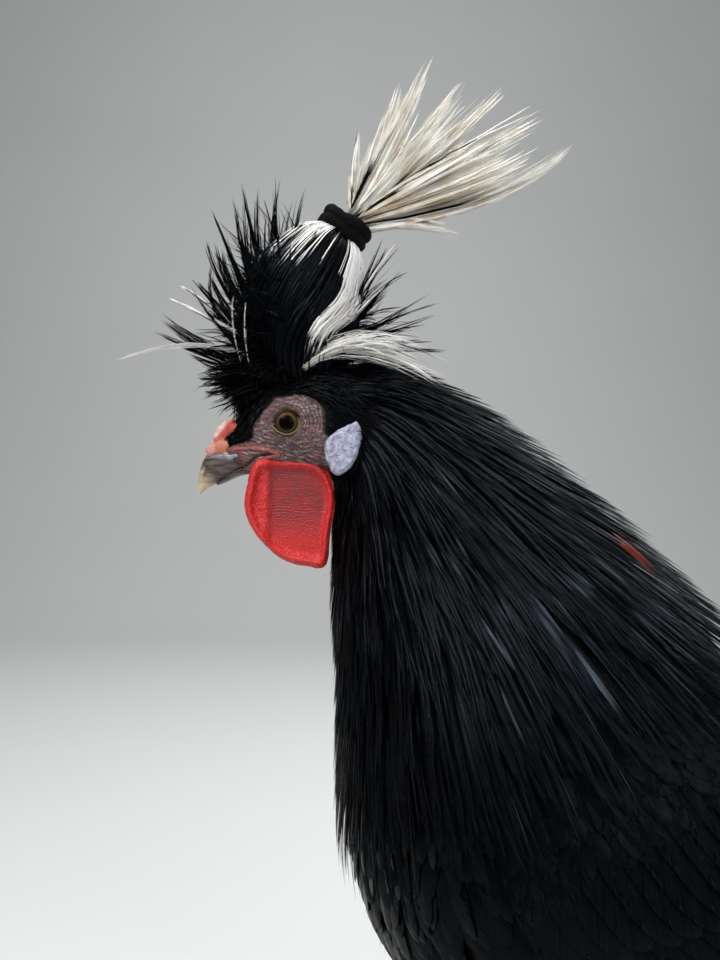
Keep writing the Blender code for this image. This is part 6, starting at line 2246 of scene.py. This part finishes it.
@dataclass(frozen=True)
class Studio:
    """The pale floor with its curved backdrop, the soft lights and the camera."""

    camera_place: Sequence[float] = (0.071, -0.35, 0.41)
    lens: float = 30.0
    half_width: float = 60.0
    depth: float = 2.6
    front: float = 60.0
    height: float = 3.4
    bend: float = 0.9
    sky: Colour = (0.8, 0.84, 0.88)
    sky_strength: float = 0.3
    lights: tuple[Light, ...] = (
        Light("key", (-0.55, -0.75, 1.45), (0.08, 0.0, 0.4), 0.9, 17.0, (1.0, 0.98, 0.95)),
        Light("top", (0.35, 0.1, 1.7), (0.12, 0.0, 0.35), 1.1, 18.0, (0.96, 0.98, 1.0)),
        Light("fill", (0.8, -1.2, 1.05), (0.12, 0.0, 0.35), 1.0, 6.0, (0.95, 0.97, 1.0)),
        Light("backdrop", (0.0, 0.75, 1.9), (0.1, 2.6, 0.7), 1.4, 11.0, (0.97, 0.98, 1.0)),
        Light("rim", (0.75, 0.75, 0.95), (0.12, 0.0, 0.4), 0.6, 5.0, (0.92, 0.96, 1.0)),
    )

    @staticmethod
    def edit(tool: Callable[..., object], **settings: object) -> None:
        """Runs one of Blender's mesh tools on what is selected of the active piece."""
        bpy.ops.object.mode_set(mode="EDIT")
        tool(**settings)
        bpy.ops.object.mode_set(mode="OBJECT")

    @staticmethod
    def pick(sheet: Piece, test: Callable[[Vector], bool]) -> None:
        """Selects the corners of a sheet that pass a test, and the edges between them."""
        for vertex in sheet.data.vertices:
            vertex.select = test(vertex.co)
        for edge in sheet.data.edges:
            edge.select = all(sheet.data.vertices[k].select for k in edge.vertices)

    def floor(self, material: Material) -> None:
        """Adds the floor and the backdrop behind it as one bent sheet."""
        choose()
        bpy.ops.mesh.primitive_plane_add(size=2, location=(0, 0, 0))
        sheet = named("studio_floor")
        bpy.ops.transform.resize(value=(self.half_width, (self.front + self.depth) / 2, 1))
        bpy.ops.transform.translate(value=(0, (self.depth - self.front) / 2, 0))
        bpy.ops.object.transform_apply(location=True, rotation=True, scale=True)
        self.edit(bpy.ops.mesh.select_all, action="DESELECT")
        self.pick(sheet, lambda corner: corner.y > 0)
        self.edit(bpy.ops.mesh.extrude_region_move, TRANSFORM_OT_translate={"value": (0, 0.0, self.height)})
        self.pick(sheet, lambda corner: abs(corner.y - self.depth) < 1e-4 and corner.z < 1e-4)
        self.edit(bpy.ops.mesh.bevel, offset=self.bend, segments=16, affect="EDGES")
        bpy.ops.object.shade_smooth()
        sheet.data.materials.append(material)

    def camera(self) -> None:
        """Adds the camera at the photograph's viewing angle."""
        place = tuple(np.array(self.camera_place) + SHIFT)
        bpy.ops.object.camera_add(location=place, rotation=(math.radians(90), 0, 0))
        camera = bpy.context.object
        camera.name = "photo_camera"
        camera.data.lens, camera.data.sensor_width, camera.data.clip_start = self.lens, 36.0, 0.01
        bpy.context.scene.camera = camera

    def build(self, material: Material) -> None:
        """Makes the studio."""
        self.floor(material)
        bpy.context.scene.view_settings.view_transform = "Standard"
        for light in self.lights:
            light.build()
        world = bpy.data.worlds.new("studio")
        bpy.context.scene.world = world
        world.use_nodes = True
        sky = world.node_tree.nodes["Background"].inputs
        sky["Color"].default_value = (*self.sky, 1.0)
        sky["Strength"].default_value = self.sky_strength
        self.camera()


def main() -> None:
    """Builds the bird and its studio."""
    logging.basicConfig(level=logging.INFO, format="%(message)s")
    kinds = FeatherFinish, SkinFinish, FleshFinish, HornFinish, LobeFinish, EyeFinish, LegFinish, ClawFinish
    feather, skin, flesh, horn, lobe, eye, scales, claw = (kind().build() for kind in kinds)
    Skin().build(skin)
    Bill().build(horn, skin)
    Comb().build(flesh)
    for side in Side:
        ball = Eye(side)
        ball.eyeball(eye)
        ball.lids(skin)
        Wattle(side).build(flesh)
        EarLobe(side).build(lobe)
        Wing(side).build(feather)
        ThighCoat(side).build(feather)
        Leg(side).build(scales, claw)
    FaceBristles().build(feather)
    Crest().build(feather)
    Plume().build(FeatherFinish(name="plume_feather", cream=(1.0, 0.985, 0.925), core=(0.0, 0.9)).build())
    Tie().build(ElasticFinish().build())
    BodyCoat().build(feather)
    Tail().build(feather)
    Studio().build(FloorFinish().build())


if __name__ == "__main__":
    main()
